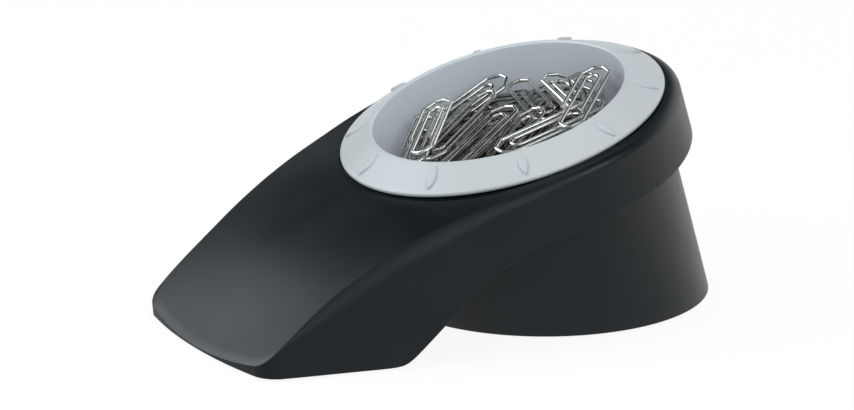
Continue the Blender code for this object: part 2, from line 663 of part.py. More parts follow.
def make_magnet_ring(parts, axis):
    """The ring that keeps clips at the mouth, captive between the flange and the bead on the neck."""
    profile = [
        (MAGNET_INNER, MAGNET_BOTTOM),
        (MAGNET_INNER, MAGNET_TOP),
        (MAGNET_OUTER, MAGNET_TOP),
        (MAGNET_OUTER, MAGNET_BOTTOM),
    ]
    turned("magnet_ring", profile, True, parts, axis, FERRITE)


def clip_points():
    """Centre line of a paper clip with trapezoid ends, flat in its own XY plane."""
    outer = CLIP_WIDTH / 2 - WIRE_RADIUS
    inner = outer - CLIP_STEP
    half = CLIP_LENGTH / 2 - WIRE_RADIUS

    def end(x, start, finish):
        """The bend at one end, from the leg at y = start to the leg at y = finish."""
        depth = math.copysign(0.36 * abs(start - finish), x)
        flat = 0.36
        first = start + (finish - start) * (1 - flat) / 2
        second = finish - (finish - start) * (1 - flat) / 2
        return [(x - depth, start), (x, first), (x, second), (x - depth, finish)]

    points = [(-0.30 * half, outer)]
    points += end(half, outer, -outer)
    points += end(-half, -outer, inner)
    points += end(half - 2 * CLIP_STEP, inner, -inner)
    points += [(-0.45 * half, -inner)]
    return points


def sampled(points, spacing):
    """Points along a polyline, no further apart than spacing."""
    made = []
    for start, end in zip(points, points[1:]):
        count = max(1, math.ceil((Vector(end) - Vector(start)).length / spacing))
        made += [between(start, end, i / count) for i in range(count)]
    made.append(points[-1])
    return np.array([(x, y, 0.0) for x, y in made])


def floor_under(radii):
    """Lowest height that a wire's centre can have in the bowl at each radius; infinite outside it."""
    stand_off = WIRE_RADIUS + GAP
    corner_start = bowl_bottom_radius() - BOWL_CORNER
    inside = BOWL_CORNER - stand_off
    reach = np.clip(radii - corner_start, 0.0, inside)
    heights = BOWL_FLOOR + BOWL_CORNER - np.sqrt(inside**2 - reach**2)
    return np.where(radii < corner_start + inside, heights, np.inf)


def clip_places():
    """Drops the clips one by one into the bowl. Each comes to rest just clear of the bowl and the clips below."""
    spacing = 1.5 * WIRE_RADIUS
    # Two wires of sampled points stay this far apart, with an allowance for the gaps between samples.
    reach = math.sqrt((2 * WIRE_RADIUS + GAP) ** 2 + spacing**2 / 2)
    flat = sampled(clip_points(), spacing)
    limit = bowl_bottom_radius() - WIRE_RADIUS - GAP - MERGE
    pile = np.empty((0, 3))
    places = []
    for share, *degrees in CLIP_DROPS:
        bearing, heading, lean, roll = (math.radians(angle) for angle in degrees)
        turn = Matrix.Rotation(heading, 3, "Z") @ Matrix.Rotation(lean, 3, "Y") @ Matrix.Rotation(roll, 3, "X")
        points = flat @ np.array(turn).T
        outwards = np.array((math.cos(bearing), math.sin(bearing)))
        along = points[:, :2] @ outwards
        room = np.min(np.sqrt(limit**2 - np.sum(points[:, :2] ** 2, axis=1) + along**2) - along)
        centre = share * room * outwards
        points[:, :2] += centre
        rest = np.max(floor_under(np.hypot(points[:, 0], points[:, 1])) - points[:, 2])
        if len(pile):
            aside = points[:, None, :2] - pile[None, :, :2]
            squared = reach**2 - np.sum(aside**2, axis=2)
            lift = pile[None, :, 2] + np.sqrt(np.maximum(squared, 0.0)) - points[:, None, 2]
            rest = max(rest, np.max(lift, where=squared > 0.0, initial=-np.inf))
        pile = np.vstack([pile, points + np.array((0.0, 0.0, rest))])
        places.append(Matrix.Translation((*centre, rest)) @ turn.to_4x4())
    return places


def make_clips(parts, axis):
    points = clip_points()
    for number, place in enumerate(clip_places(), start=1):
        name = f"paper_clip_{number:02d}"
        curve = bpy.data.curves.new(name, "CURVE")
        curve.dimensions = "3D"
        spline = curve.splines.new("POLY")
        spline.points.add(len(points) - 1)
        for point, (x, y) in zip(spline.points, points):
            point.co = (x, y, 0.0, 1.0)
        curve.bevel_depth = WIRE_RADIUS
        curve.bevel_resolution = 1
        curve.use_fill_caps = True
        clip = finished(bpy.data.objects.new(name, curve), parts, axis, CLIP_STEEL)
        clip.matrix_local = place


def main():
    clear_scene()
    parts = new_collection("paper_clip_holder")
    cutters = new_collection("cutters")
    body_axis = axis_empty("body_axis", parts)
    dish_axis = axis_empty("dish_axis", parts)
    make_hood(parts, cutters, body_axis)
    make_base(parts, cutters, body_axis)
    make_bottom_plate(parts, cutters, body_axis)
    make_ballast(parts)
    make_screws(parts, cutters)
    make_feet(parts)
    make_dish(parts, cutters, dish_axis)
    make_magnet_ring(parts, dish_axis)
    make_clips(parts, dish_axis)


if __name__ == "__main__":
    main()
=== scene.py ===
"""The looks of a desk holder for paper clips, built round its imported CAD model.

Lengths are in metres. The round pieces share the dish axis, which leans towards the tongue. Its frame has
p away from the tongue in the rim plane, y sideways and h up the axis from the plane of the dish's outer rim.
"""

import json
import math
import random

import bmesh
import bpy
import numpy as np
from mathutils import Matrix, Vector


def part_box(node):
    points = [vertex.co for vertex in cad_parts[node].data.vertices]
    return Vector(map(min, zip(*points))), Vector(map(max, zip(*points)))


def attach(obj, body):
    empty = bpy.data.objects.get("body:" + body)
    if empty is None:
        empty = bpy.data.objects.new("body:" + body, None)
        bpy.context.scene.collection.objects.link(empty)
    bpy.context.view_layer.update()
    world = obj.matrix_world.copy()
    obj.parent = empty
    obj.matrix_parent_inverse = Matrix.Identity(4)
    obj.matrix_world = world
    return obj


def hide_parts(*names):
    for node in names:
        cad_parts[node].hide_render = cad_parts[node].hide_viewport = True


bl_info = {
    "name": "Paper clip holder",
    "version": (1, 0, 0),
    "blender": (4, 5, 0),
    "location": "View3D > Sidebar > Clip holder",
    "description": "Builds a tilted desk holder for paper clips round its CAD model",
    "category": "Add Mesh",
}

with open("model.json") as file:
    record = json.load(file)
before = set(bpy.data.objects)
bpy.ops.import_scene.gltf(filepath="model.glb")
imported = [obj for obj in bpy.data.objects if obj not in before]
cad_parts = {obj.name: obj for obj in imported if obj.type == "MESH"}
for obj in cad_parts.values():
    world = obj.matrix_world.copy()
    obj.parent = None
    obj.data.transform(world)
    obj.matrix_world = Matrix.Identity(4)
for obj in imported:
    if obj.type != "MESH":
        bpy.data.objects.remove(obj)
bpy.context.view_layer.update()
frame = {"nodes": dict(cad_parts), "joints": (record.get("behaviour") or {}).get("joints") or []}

# The dish axis and the round sizes, read from the frame
HINGE = next(joint for joint in frame["joints"] if joint["name"] == "dish_turn")
RIM_CENTRE = Vector(HINGE["pos_m"])
TILT = math.atan2(-HINGE["axis"][0], HINGE["axis"][2])
DISH_FRAME = Matrix.Translation(RIM_CENTRE) @ Matrix.Rotation(-TILT, 4, "Y")


def half_width(node):
    """Half the width of a CAD node across the holder."""
    low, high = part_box(node)
    return (high.y - low.y) / 2


def axis_heights(node):
    """Lowest and highest point of a CAD node along the dish axis."""
    inverse = DISH_FRAME.inverted()
    heights = [(inverse @ vertex.co).z for vertex in frame["nodes"][node].data.vertices]
    return min(heights), max(heights)


def seen_from_above(node):
    """The middle of a CAD node seen from above, and half its width along x."""
    low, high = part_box(node)
    return (low.x + high.x) / 2, (low.y + high.y) / 2, (high.x - low.x) / 2


FLANGE_RADIUS = half_width("dish")
BASE_RADIUS = half_width("base_tube")
MAGNET_OUTER = half_width("magnet_ring")
MAGNET_BOTTOM, MAGNET_TOP = axis_heights("magnet_ring")
DISH_BOTTOM = axis_heights("dish")[0]
BASE_TOP = axis_heights("base_tube")[1]
TABLE_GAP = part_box("base_tube")[0].z
# Lower end of the hood's collar, and the gap between pieces that fit together
COLLAR_BOTTOM = -0.0102
GAP = 0.0003
FOOT_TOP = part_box("base_foot_1")[1].z
PLATE_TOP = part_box("ballast_disc")[0].z - GAP

WHITE = (1.0, 1.0, 1.0)
SMOOTH_ANGLE = math.radians(40)


class HoodSizes(bpy.types.PropertyGroup):
    radius: bpy.props.FloatProperty(
        name="Rim radius", description="Radius of the hood round the dish", default=0.0443, unit="LENGTH")
    recess_gap: bpy.props.FloatProperty(
        name="Recess gap", description="Gap round the dish's flange", default=0.0005, unit="LENGTH")
    wall: bpy.props.FloatProperty(
        name="Wall", description="Wall thickness", default=0.0022, unit="LENGTH")
    tongue: bpy.props.FloatProperty(
        name="Tongue", description="Reach of the tongue past the rim", default=0.0502, unit="LENGTH")
    taper: bpy.props.FloatProperty(
        name="Taper", description="Angle of the tongue's sides", default=math.radians(9.2), subtype="ANGLE")
    crown: bpy.props.FloatProperty(
        name="Crown", description="Rise of the tongue's middle", default=0.0018, unit="LENGTH")


class DishSizes(bpy.types.PropertyGroup):
    mouth: bpy.props.FloatProperty(
        name="Mouth radius", description="Radius of the dish's mouth", default=0.0318, unit="LENGTH")
    wall: bpy.props.FloatProperty(
        name="Wall", description="Wall thickness of the bowl", default=0.0012, unit="LENGTH")
    grips: bpy.props.IntProperty(
        name="Grips", description="Number of raised grips on the flange", default=10, min=0)
    grip_length: bpy.props.FloatProperty(
        name="Grip length", description="Length of a grip", default=0.0072, unit="LENGTH")
    grip_width: bpy.props.FloatProperty(
        name="Grip width", description="Width of a grip", default=0.0024, unit="LENGTH")
    grip_height: bpy.props.FloatProperty(
        name="Grip height", description="Height of a grip", default=0.0006, unit="LENGTH")
    grip_turn: bpy.props.FloatProperty(
        name="Grip turn", description="Turn of the ring of grips", default=math.radians(-3.4),
        subtype="ANGLE")


class ClipSizes(bpy.types.PropertyGroup):
    extra: bpy.props.IntProperty(
        name="Extra clips", description="Attempts to pack one more clip between the CAD clips", default=80,
        min=0)
    length: bpy.props.FloatProperty(
        name="Length", description="Length of a clip", default=0.0314, unit="LENGTH")
    width: bpy.props.FloatProperty(
        name="Width", description="Width of a clip", default=0.0087, unit="LENGTH")
    step: bpy.props.FloatProperty(
        name="Leg step", description="Distance from the outer to the inner leg", default=0.0020,
        unit="LENGTH")
    wire: bpy.props.FloatProperty(
        name="Wire radius", description="Radius of the wire", default=0.0005, unit="LENGTH")
    bend: bpy.props.FloatProperty(
        name="Bend radius", description="Radius of the wire's bends", default=0.0011, unit="LENGTH")
    seed: bpy.props.IntProperty(name="Seed", description="Seed of the heap", default=11)


class Finishes(bpy.types.PropertyGroup):
    shell: bpy.props.FloatVectorProperty(
        name="Shell", description="Colour of the dark plastic", default=(0.0030, 0.0056, 0.0072), size=3,
        subtype="COLOR")
    dish: bpy.props.FloatVectorProperty(
        name="Dish", description="Colour of the dish", default=(0.495, 0.540, 0.562), size=3, subtype="COLOR")
    steel: bpy.props.FloatVectorProperty(
        name="Steel", description="Colour of the clips' wire", default=(0.80, 0.78, 0.75), size=3,
        subtype="COLOR")
    floor: bpy.props.FloatVectorProperty(
        name="Floor", description="Colour of the floor", default=(0.62, 0.62, 0.62), size=3, subtype="COLOR")


def settings(name):
    """The group of sizes or colours of that name."""
    return getattr(bpy.context.scene, f"clip_holder_{name}")


# Shaders


class Signal:
    """A shader output that takes part in ordinary arithmetic."""

    def __init__(self, shader, socket):
        self.shader = shader
        self.socket = socket

    def math(self, operation, first, second):
        return self.shader.node("ShaderNodeMath", {"operation": operation}, {0: first, 1: second})

    def __add__(self, other):
        return self.math("ADD", self, other)

    __radd__ = __add__

    def __mul__(self, other):
        return self.math("MULTIPLY", self, other)

    __rmul__ = __mul__


class Shader:
    """A material whose nodes are added one call at a time."""

    def __init__(self, name, tree=None):
        self.tree = tree
        if tree is None:
            self.material = bpy.data.materials.new(name)
            self.material.use_nodes = True
            self.tree = self.material.node_tree
            self.tree.nodes.clear()
            self.output = self.tree.nodes.new("ShaderNodeOutputMaterial")

    def node(self, kind, options=None, inputs=None, output=0):
        """Adds a node: its settings first, then the values or links of its sockets."""
        made = self.tree.nodes.new(kind)
        for option, value in (options or {}).items():
            setattr(made, option, value)
        for socket, value in (inputs or {}).items():
            self.feed(made.inputs[socket], value)
        return Signal(self, made.outputs[output])

    def feed(self, socket, value):
        if isinstance(value, Signal):
            self.tree.links.new(value.socket, socket)
        else:
            socket.default_value = value

    def place(self):
        return self.node("ShaderNodeTexCoord", output="Object")

    def vector(self, operation, *values, output=0):
        """Vector arithmetic. The output is a vector or, where it is called Value, a number."""
        return self.node("ShaderNodeVectorMath", {"operation": operation}, dict(enumerate(values)), output)

    def ray(self, kind):
        """1 on rays of that kind and 0 on others."""
        return self.node("ShaderNodeLightPath", output=f"Is {kind} Ray")

    def seen(self):
        """1 on what the camera sees, also through a clear piece, and 0 on the rest."""
        camera = self.ray("Camera")
        return camera.math("MAXIMUM", camera, self.ray("Transmission"))

    def noise(self, size, detail=2.0, roughness=0.5):
        """Noise between 0 and 1 with blobs of about the given size."""
        inputs = {"Vector": self.place(), "Scale": 1 / size, "Detail": detail, "Roughness": roughness}
        return self.node("ShaderNodeTexNoise", None, inputs)

    def spread(self, value, low, high):
        """Stretches a value between low and high to 0..1."""
        inputs = {"Value": value, "From Min": low, "From Max": high}
        return self.node("ShaderNodeMapRange", {"clamp": True}, inputs)

    def mixed(self, share, first, second):
        """Mixes two values."""
        return self.node("ShaderNodeMix", {"data_type": "FLOAT"}, {0: share, 2: first, 3: second})

    def blend(self, share, first, second):
        """Mixes two colours."""
        inputs = {0: share, 6: (*first, 1.0), 7: (*second, 1.0)}
        return self.node("ShaderNodeMix", {"data_type": "RGBA"}, inputs, 2)

    def bump(self, height, distance, strength=1.0):
        inputs = {"Height": height, "Distance": distance, "Strength": strength}
        return self.node("ShaderNodeBump", None, inputs)

    def surface(self, **inputs):
        """Ends in a Principled surface. Underscores in the names stand for spaces."""
        sockets = {name.replace("_", " "): value for name, value in inputs.items()}
        made = self.node("ShaderNodeBsdfPrincipled", None, sockets)
        self.tree.links.new(made.socket, self.output.inputs["Surface"])
        return self.material


def shade(colour, factor):
    """A colour made brighter or darker by a factor."""
    return tuple(min(1.0, channel * factor) for channel in colour)


def off_axis(shader):
    """Height above the rim's centre along the dish's axis, and distance from that axis."""
    axis = DISH_FRAME.to_3x3().col[2]
    above = shader.vector("SUBTRACT", shader.place(), RIM_CENTRE)
    height = shader.vector("DOT_PRODUCT", above, axis, output="Value")
    across = shader.vector("CROSS_PRODUCT", above, axis)
    return height, shader.vector("LENGTH", across, output="Value")


def moulded_plastic(name, colour, spread, roughness, grain, depth, level, inner=None):
    """Moulded plastic: faint mottling, an eroded grain and a roughness that drifts.

    Where inner factors are given, they multiply the colour inside the bowl's mouth: painted light that makes
    the bowl's inside brighter.
    """
    shader = Shader(name)
    cloud = shader.noise(0.014, 3.0)
    speck = shader.noise(grain * 2.2, 2.0)
    tone = shader.spread(cloud * 0.65 + speck * 0.35, 0.34, 0.66)
    fine = shader.noise(grain, 2.0, 0.6)
    handled = shader.spread(shader.noise(0.030, 4.0, 0.6), 0.35, 0.70)
    base = shader.blend(tone, shade(colour, 1 - spread), shade(colour, 1 + spread))
    # Painted light: inside the bowl's mouth the colour is brightened by the inner factors
    if inner:
        mouth = settings("dish").mouth
        bowl = shader.spread(off_axis(shader)[1], mouth + 0.0006, mouth)
        base = shader.vector("MULTIPLY", base, shader.blend(bowl, WHITE, inner))
    return shader.surface(
        Base_Color=base,
        Roughness=handled * (roughness[1] - roughness[0]) + roughness[0],
        Normal=shader.bump(fine, depth),
        Specular_IOR_Level=level,
    )


def bright_wire(colour):
    """Plated steel wire with dull streaks and specks.

    It differs a little from clip to clip. Its colour has painted shade and light: dark deep in the heap,
    where little light gets, and brighter than the steel's own colour at the top.
    """
    shader = Shader("bright_wire")
    tint = shader.node("ShaderNodeAttribute", {"attribute_name": "shade"}, None, "Fac")
    patch = shader.noise(0.0022, 3.0, 0.6)
    fine = shader.noise(0.00022, 3.0, 0.7)
    tone = shader.spread(patch * 0.5 + tint * 0.5, 0.25, 0.75)
    # Painted shade: the colour darkens with depth below the rim along the dish axis, and is lighter at the
    # top of the heap
    deep, top = -0.0075, 0.0005
    painted_shade_and_tone = shader.spread(off_axis(shader)[0], deep, top) * 0.75 + tone * 0.25
    return shader.surface(
        Base_Color=shader.blend(painted_shade_and_tone, shade(colour, 0.14), shade(colour, 1.25)),
        Metallic=1.0,
        Roughness=shader.spread(patch, 0.3, 0.75) * 0.14 + 0.13,
        Normal=shader.bump(fine, 0.00003, 0.5),
    )


def turned_steel(name, colour, roughness):
    """Plain machined or plated steel with fine dull marks."""
    shader = Shader(name)
    mark = shader.noise(0.0008, 4.0, 0.7)
    cloud = shader.noise(0.009, 3.0)
    return shader.surface(
        Base_Color=shader.blend(shader.spread(cloud, 0.3, 0.7), shade(colour, 0.85), shade(colour, 1.1)),
        Metallic=1.0,
        Roughness=shader.spread(mark, 0.3, 0.7) * 0.2 + roughness,
        Normal=shader.bump(mark, 0.00003, 0.6),
    )


def matt_compound(name, colour, roughness):
    """Rubber and bonded ferrite: dull, slightly uneven and fine-grained."""
    shader = Shader(name)
    cloud = shader.noise(0.005, 3.0)
    fine = shader.noise(0.00035, 3.0, 0.6)
    return shader.surface(
        Base_Color=shader.blend(shader.spread(cloud, 0.3, 0.7), shade(colour, 0.8), shade(colour, 1.25)),
        Roughness=shader.spread(fine, 0.3, 0.7) * 0.15 + roughness,
        Normal=shader.bump(fine, 0.00005),
    )


def finish(name):
    """The named finish, made once."""
    made = bpy.data.materials.get(name)
    if made:
        return made
    colours = settings("finishes")
    if name == "soft_black":
        return moulded_plastic(
            name, tuple(colours.shell), spread=0.10, roughness=(0.33, 0.42), grain=0.00022, depth=0.000025,
            level=0.36)
    if name == "pale_grey":
        # The inner factors paint light into the bowl's inside
        return moulded_plastic(
            name, tuple(colours.dish), spread=0.015, roughness=(0.34, 0.44), grain=0.00035, depth=0.000010,
            level=0.45, inner=(1.27, 1.28, 1.34))
    if name == "bright_wire":
        return bright_wire(tuple(colours.steel))
    if name == "ballast":
        return turned_steel(name, (0.42, 0.43, 0.44), roughness=0.35)
    if name == "screw":
        return turned_steel(name, (0.60, 0.60, 0.58), roughness=0.22)
    if name == "ferrite_ring":
        return matt_compound(name, (0.055, 0.055, 0.060), roughness=0.50)
    return matt_compound(name, (0.022, 0.022, 0.022), roughness=0.72)


# Meshes


def between(start, end, share):
    """The point at a share of the way from one point to another."""
    return tuple(a + (b - a) * share for a, b in zip(start, end))


def smooth_step(low, high, value):
    """A soft rise from 0 at low to 1 at high."""
    t = min(1.0, max(0.0, (value - low) / (high - low)))
    return t * t * (3 - 2 * t)


def arc(centre, radius, start, end, steps):
    """Points along an arc, both ends included."""
    angles = [start + (end - start) * i / steps for i in range(steps + 1)]
    return [(centre[0] + radius * math.cos(a), centre[1] + radius * math.sin(a)) for a in angles]


def divided(points, longest):
    """A profile with extra points, so that no run is longer than longest."""
    made = []
    for start, end in zip(points, points[1:]):
        count = max(1, math.ceil(math.dist(start, end) / longest))
        made += [between(start, end, i / count) for i in range(count)]
    return made + [points[-1]]


def bridged(start, end, count):
    """Rings at equal steps from one ring to another, without the first."""
    return [[between(a, b, i / count) for a, b in zip(start, end)] for i in range(1, count + 1)]


def lofted(name, rings, closed, place=DISH_FRAME, capped=False, angle=SMOOTH_ANGLE):
    """A mesh through rings of equally many points. A ring of one point is a pole."""
    shape = bmesh.new()
    rows = [[shape.verts.new(point) for point in ring] for ring in rings]
    pairs = list(zip(rows, rows[1:]))
    if closed:
        pairs.append((rows[-1], rows[0]))
    for lower, upper in pairs:
        for i in range(max(len(lower), len(upper))):
            low, next_low = (lower[j % len(lower)] for j in (i, i + 1))
            high, next_high = (upper[j % len(upper)] for j in (i, i + 1))
            shape.faces.new(list(dict.fromkeys([low, next_low, next_high, high])))
    if capped:
        shape.faces.new(rows[0])
        shape.faces.new(rows[-1])
    bmesh.ops.recalc_face_normals(shape, faces=shape.faces)
    bmesh.ops.transform(shape, matrix=place, verts=shape.verts)
    return smooth_mesh(name, shape, angle)


def smoothed(mesh, angle=SMOOTH_ANGLE):
    """Shades a mesh smooth, apart from edges sharper than the angle."""
    mesh.shade_smooth()
    mesh.set_sharp_from_angle(angle=angle)
    return mesh


def smooth_mesh(name, shape, angle=SMOOTH_ANGLE):
    """A smoothed mesh from a finished shape, which is used up."""
    mesh = bpy.data.meshes.new(name)
    shape.to_mesh(mesh)
    shape.free()
    return smoothed(mesh, angle)


def upright(x, y, radius, bottom, top, segments):
    """The shape of an upright cylinder."""
    shape = bmesh.new()
    bmesh.ops.create_cone(
        shape, cap_ends=True, segments=segments, radius1=radius, radius2=radius, depth=top - bottom)
    bmesh.ops.translate(shape, verts=shape.verts, vec=(x, y, (bottom + top) / 2))
    return shape


def block(name, size, place):
    """A block of the given size about the origin of its place."""
    shape = bmesh.new()
    bmesh.ops.create_cube(shape, size=1.0)
    bmesh.ops.scale(shape, verts=shape.verts, vec=size)
    bmesh.ops.transform(shape, matrix=place, verts=shape.verts)
    return add_object(name, smooth_mesh(name, shape))


def turned(name, profile, closed, steps, place=DISH_FRAME):
    """A profile of (radius, height) points turned about Z."""
    angles = [2 * math.pi * i / steps for i in range(steps)]
    rings = []
    for radius, height in profile:
        if radius < 1e-7:
            rings.append([(0.0, 0.0, height)])
        else:
            rings.append([(radius * math.cos(a), radius * math.sin(a), height) for a in angles])
    return lofted(name, rings, closed, place)


def add_object(name, mesh):
    """An object of a mesh, added to the scene."""
    made = bpy.data.objects.new(name, mesh)
    bpy.context.scene.collection.objects.link(made)
    return made


def dress(obj, body, slot, finish_name, *nodes):
    """Gives a finished piece its material and its body, and hides the CAD nodes that it stands for."""
    obj.data.materials.clear()
    obj.data.materials.append(finish(finish_name))
    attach(obj, body)
    if nodes:
        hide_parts(*nodes)
    return obj


def baked(obj):
    """Replaces an object by the plain mesh that its modifiers make."""
    graph = bpy.context.evaluated_depsgraph_get()
    mesh = bpy.data.meshes.new_from_object(obj.evaluated_get(graph))
    obj.modifiers.clear()
    obj.data = mesh
    return obj


def cut_or_joined(obj, tools, operation):
    """Applies one Boolean for each tool, and removes the tools."""
    for tool in tools:
        modifier = obj.modifiers.new(tool.name, "BOOLEAN")
        modifier.operation = operation
        modifier.solver = "EXACT"
        modifier.object = tool
    baked(obj)
    for tool in tools:
        bpy.data.objects.remove(tool)
    smoothed(obj.data)
    return obj


# Geometry node trees


class Tree:
    """A geometry node tree whose nodes are added one call at a time."""

    def __init__(self, name, inputs):
        self.tree = bpy.data.node_groups.new(name, "GeometryNodeTree")
        self.tree.interface.new_socket("Geometry", in_out="OUTPUT", socket_type="NodeSocketGeometry")
        for label, kind in inputs:
            self.tree.interface.new_socket(label, in_out="INPUT", socket_type=kind)
        self.start = self.tree.nodes.new("NodeGroupInput")
        self.end = self.tree.nodes.new("NodeGroupOutput")

    def given(self, label):
        return self.start.outputs[label]

    def node(self, kind, options=None, inputs=None, output=0):
        made = self.tree.nodes.new(kind)
        for option, value in (options or {}).items():
            setattr(made, option, value)
        for socket, value in (inputs or {}).items():
            if isinstance(value, bpy.types.NodeSocket):
                self.tree.links.new(value, made.inputs[socket])
            else:
                made.inputs[socket].default_value = value
        return made.outputs[output]

    def attribute(self, name, kind):
        return self.node("GeometryNodeInputNamedAttribute", {"data_type": kind}, {"Name": name})

    def close(self, instances):
        """Ends the tree with real geometry in its finish."""
        real = self.node("GeometryNodeRealizeInstances", None, {0: instances})
        shown = self.node(
            "GeometryNodeSetMaterial", None, {"Geometry": real, "Material": self.given("Finish")})
        self.tree.links.new(shown, self.end.inputs[0])
        return self.tree

    def run(self, obj, **values):
        """Runs the tree on an object and leaves the plain mesh. Underscores in the names stand for spaces."""
        modifier = obj.modifiers.new("made", "NODES")
        modifier.node_group = self.tree
        for item in self.tree.interface.items_tree:
            key = item.name.replace(" ", "_")
            if item.in_out == "INPUT" and key in values:
                modifier[item.identifier] = values[key]
        return baked(obj)


def copies_tree():
    """Copies of one piece on points that carry a turn and a size."""
    tree = Tree("copies_on_points", [
        ("Geometry", "NodeSocketGeometry"), ("Piece", "NodeSocketObject"), ("Finish", "NodeSocketMaterial")])
    piece = tree.node("GeometryNodeObjectInfo", None, {"Object": tree.given("Piece")}, "Geometry")
    copies = tree.node("GeometryNodeInstanceOnPoints", None, {
        "Points": tree.given("Geometry"),
        "Instance": piece,
        "Rotation": tree.attribute("turn", "FLOAT_VECTOR"),
        "Scale": tree.attribute("size", "FLOAT_VECTOR"),
    })
    tree.close(copies)
    return tree


def ring_tree():
    """Copies of one piece round a circle, each facing outwards."""
    tree = Tree("copies_round_ring", [
        ("Geometry", "NodeSocketGeometry"), ("Piece", "NodeSocketObject"), ("Count", "NodeSocketInt"),
        ("Radius", "NodeSocketFloat"), ("Finish", "NodeSocketMaterial")])
    circle = tree.node("GeometryNodeMeshCircle", None, {
        "Vertices": tree.given("Count"), "Radius": tree.given("Radius")})
    piece = tree.node("GeometryNodeObjectInfo", None, {"Object": tree.given("Piece")}, "Geometry")
    outwards = tree.node("FunctionNodeAlignRotationToVector", {"axis": "X", "pivot_axis": "Z"}, {
        "Vector": tree.node("GeometryNodeInputPosition")})
    copies = tree.node("GeometryNodeInstanceOnPoints", None, {
        "Points": circle, "Instance": piece, "Rotation": outwards})
    tree.close(copies)
    return tree


def wire_tree():
    """Bent wire along a centre line, copied on points that carry a turn and a shade."""
    tree = Tree("bent_wire", [
        ("Geometry", "NodeSocketGeometry"), ("Centre line", "NodeSocketObject"),
        ("Wire radius", "NodeSocketFloat"), ("Bend radius", "NodeSocketFloat"),
        ("Bend steps", "NodeSocketInt"), ("Sides", "NodeSocketInt"), ("Finish", "NodeSocketMaterial")])
    line = tree.node("GeometryNodeObjectInfo", None, {"Object": tree.given("Centre line")}, "Geometry")
    curve = tree.node("GeometryNodeMeshToCurve", None, {0: line})
    bent = tree.node("GeometryNodeFilletCurve", {"mode": "POLY"}, {
        "Curve": curve, "Count": tree.given("Bend steps"), "Radius": tree.given("Bend radius"),
        "Limit Radius": True})
    section = tree.node("GeometryNodeCurvePrimitiveCircle", None, {
        "Resolution": tree.given("Sides"), "Radius": tree.given("Wire radius")})
    wire = tree.node("GeometryNodeCurveToMesh", None, {
        "Curve": bent, "Profile Curve": section, "Fill Caps": True})
    smooth = tree.node("GeometryNodeSetShadeSmooth", None, {0: wire})
    copies = tree.node("GeometryNodeInstanceOnPoints", None, {
        "Points": tree.given("Geometry"), "Instance": smooth,
        "Rotation": tree.attribute("turn", "FLOAT_VECTOR")})
    tree.close(copies)
    return tree


def points_object(name, places, turns, extra):
    """An object of loose points that carry a turn and one more attribute: its name, kind and values."""
    mesh = bpy.data.meshes.new(name)
    mesh.from_pydata([tuple(place) for place in places], [], [])
    turn = mesh.attributes.new("turn", "FLOAT_VECTOR", "POINT")
    turn.data.foreach_set("vector", [angle for angles in turns for angle in angles])
    label, kind, values = extra
    more = mesh.attributes.new(label, kind, "POINT")
    more.data.foreach_set("vector" if kind == "FLOAT_VECTOR" else "value", values)
    return add_object(name, mesh)


# Hood


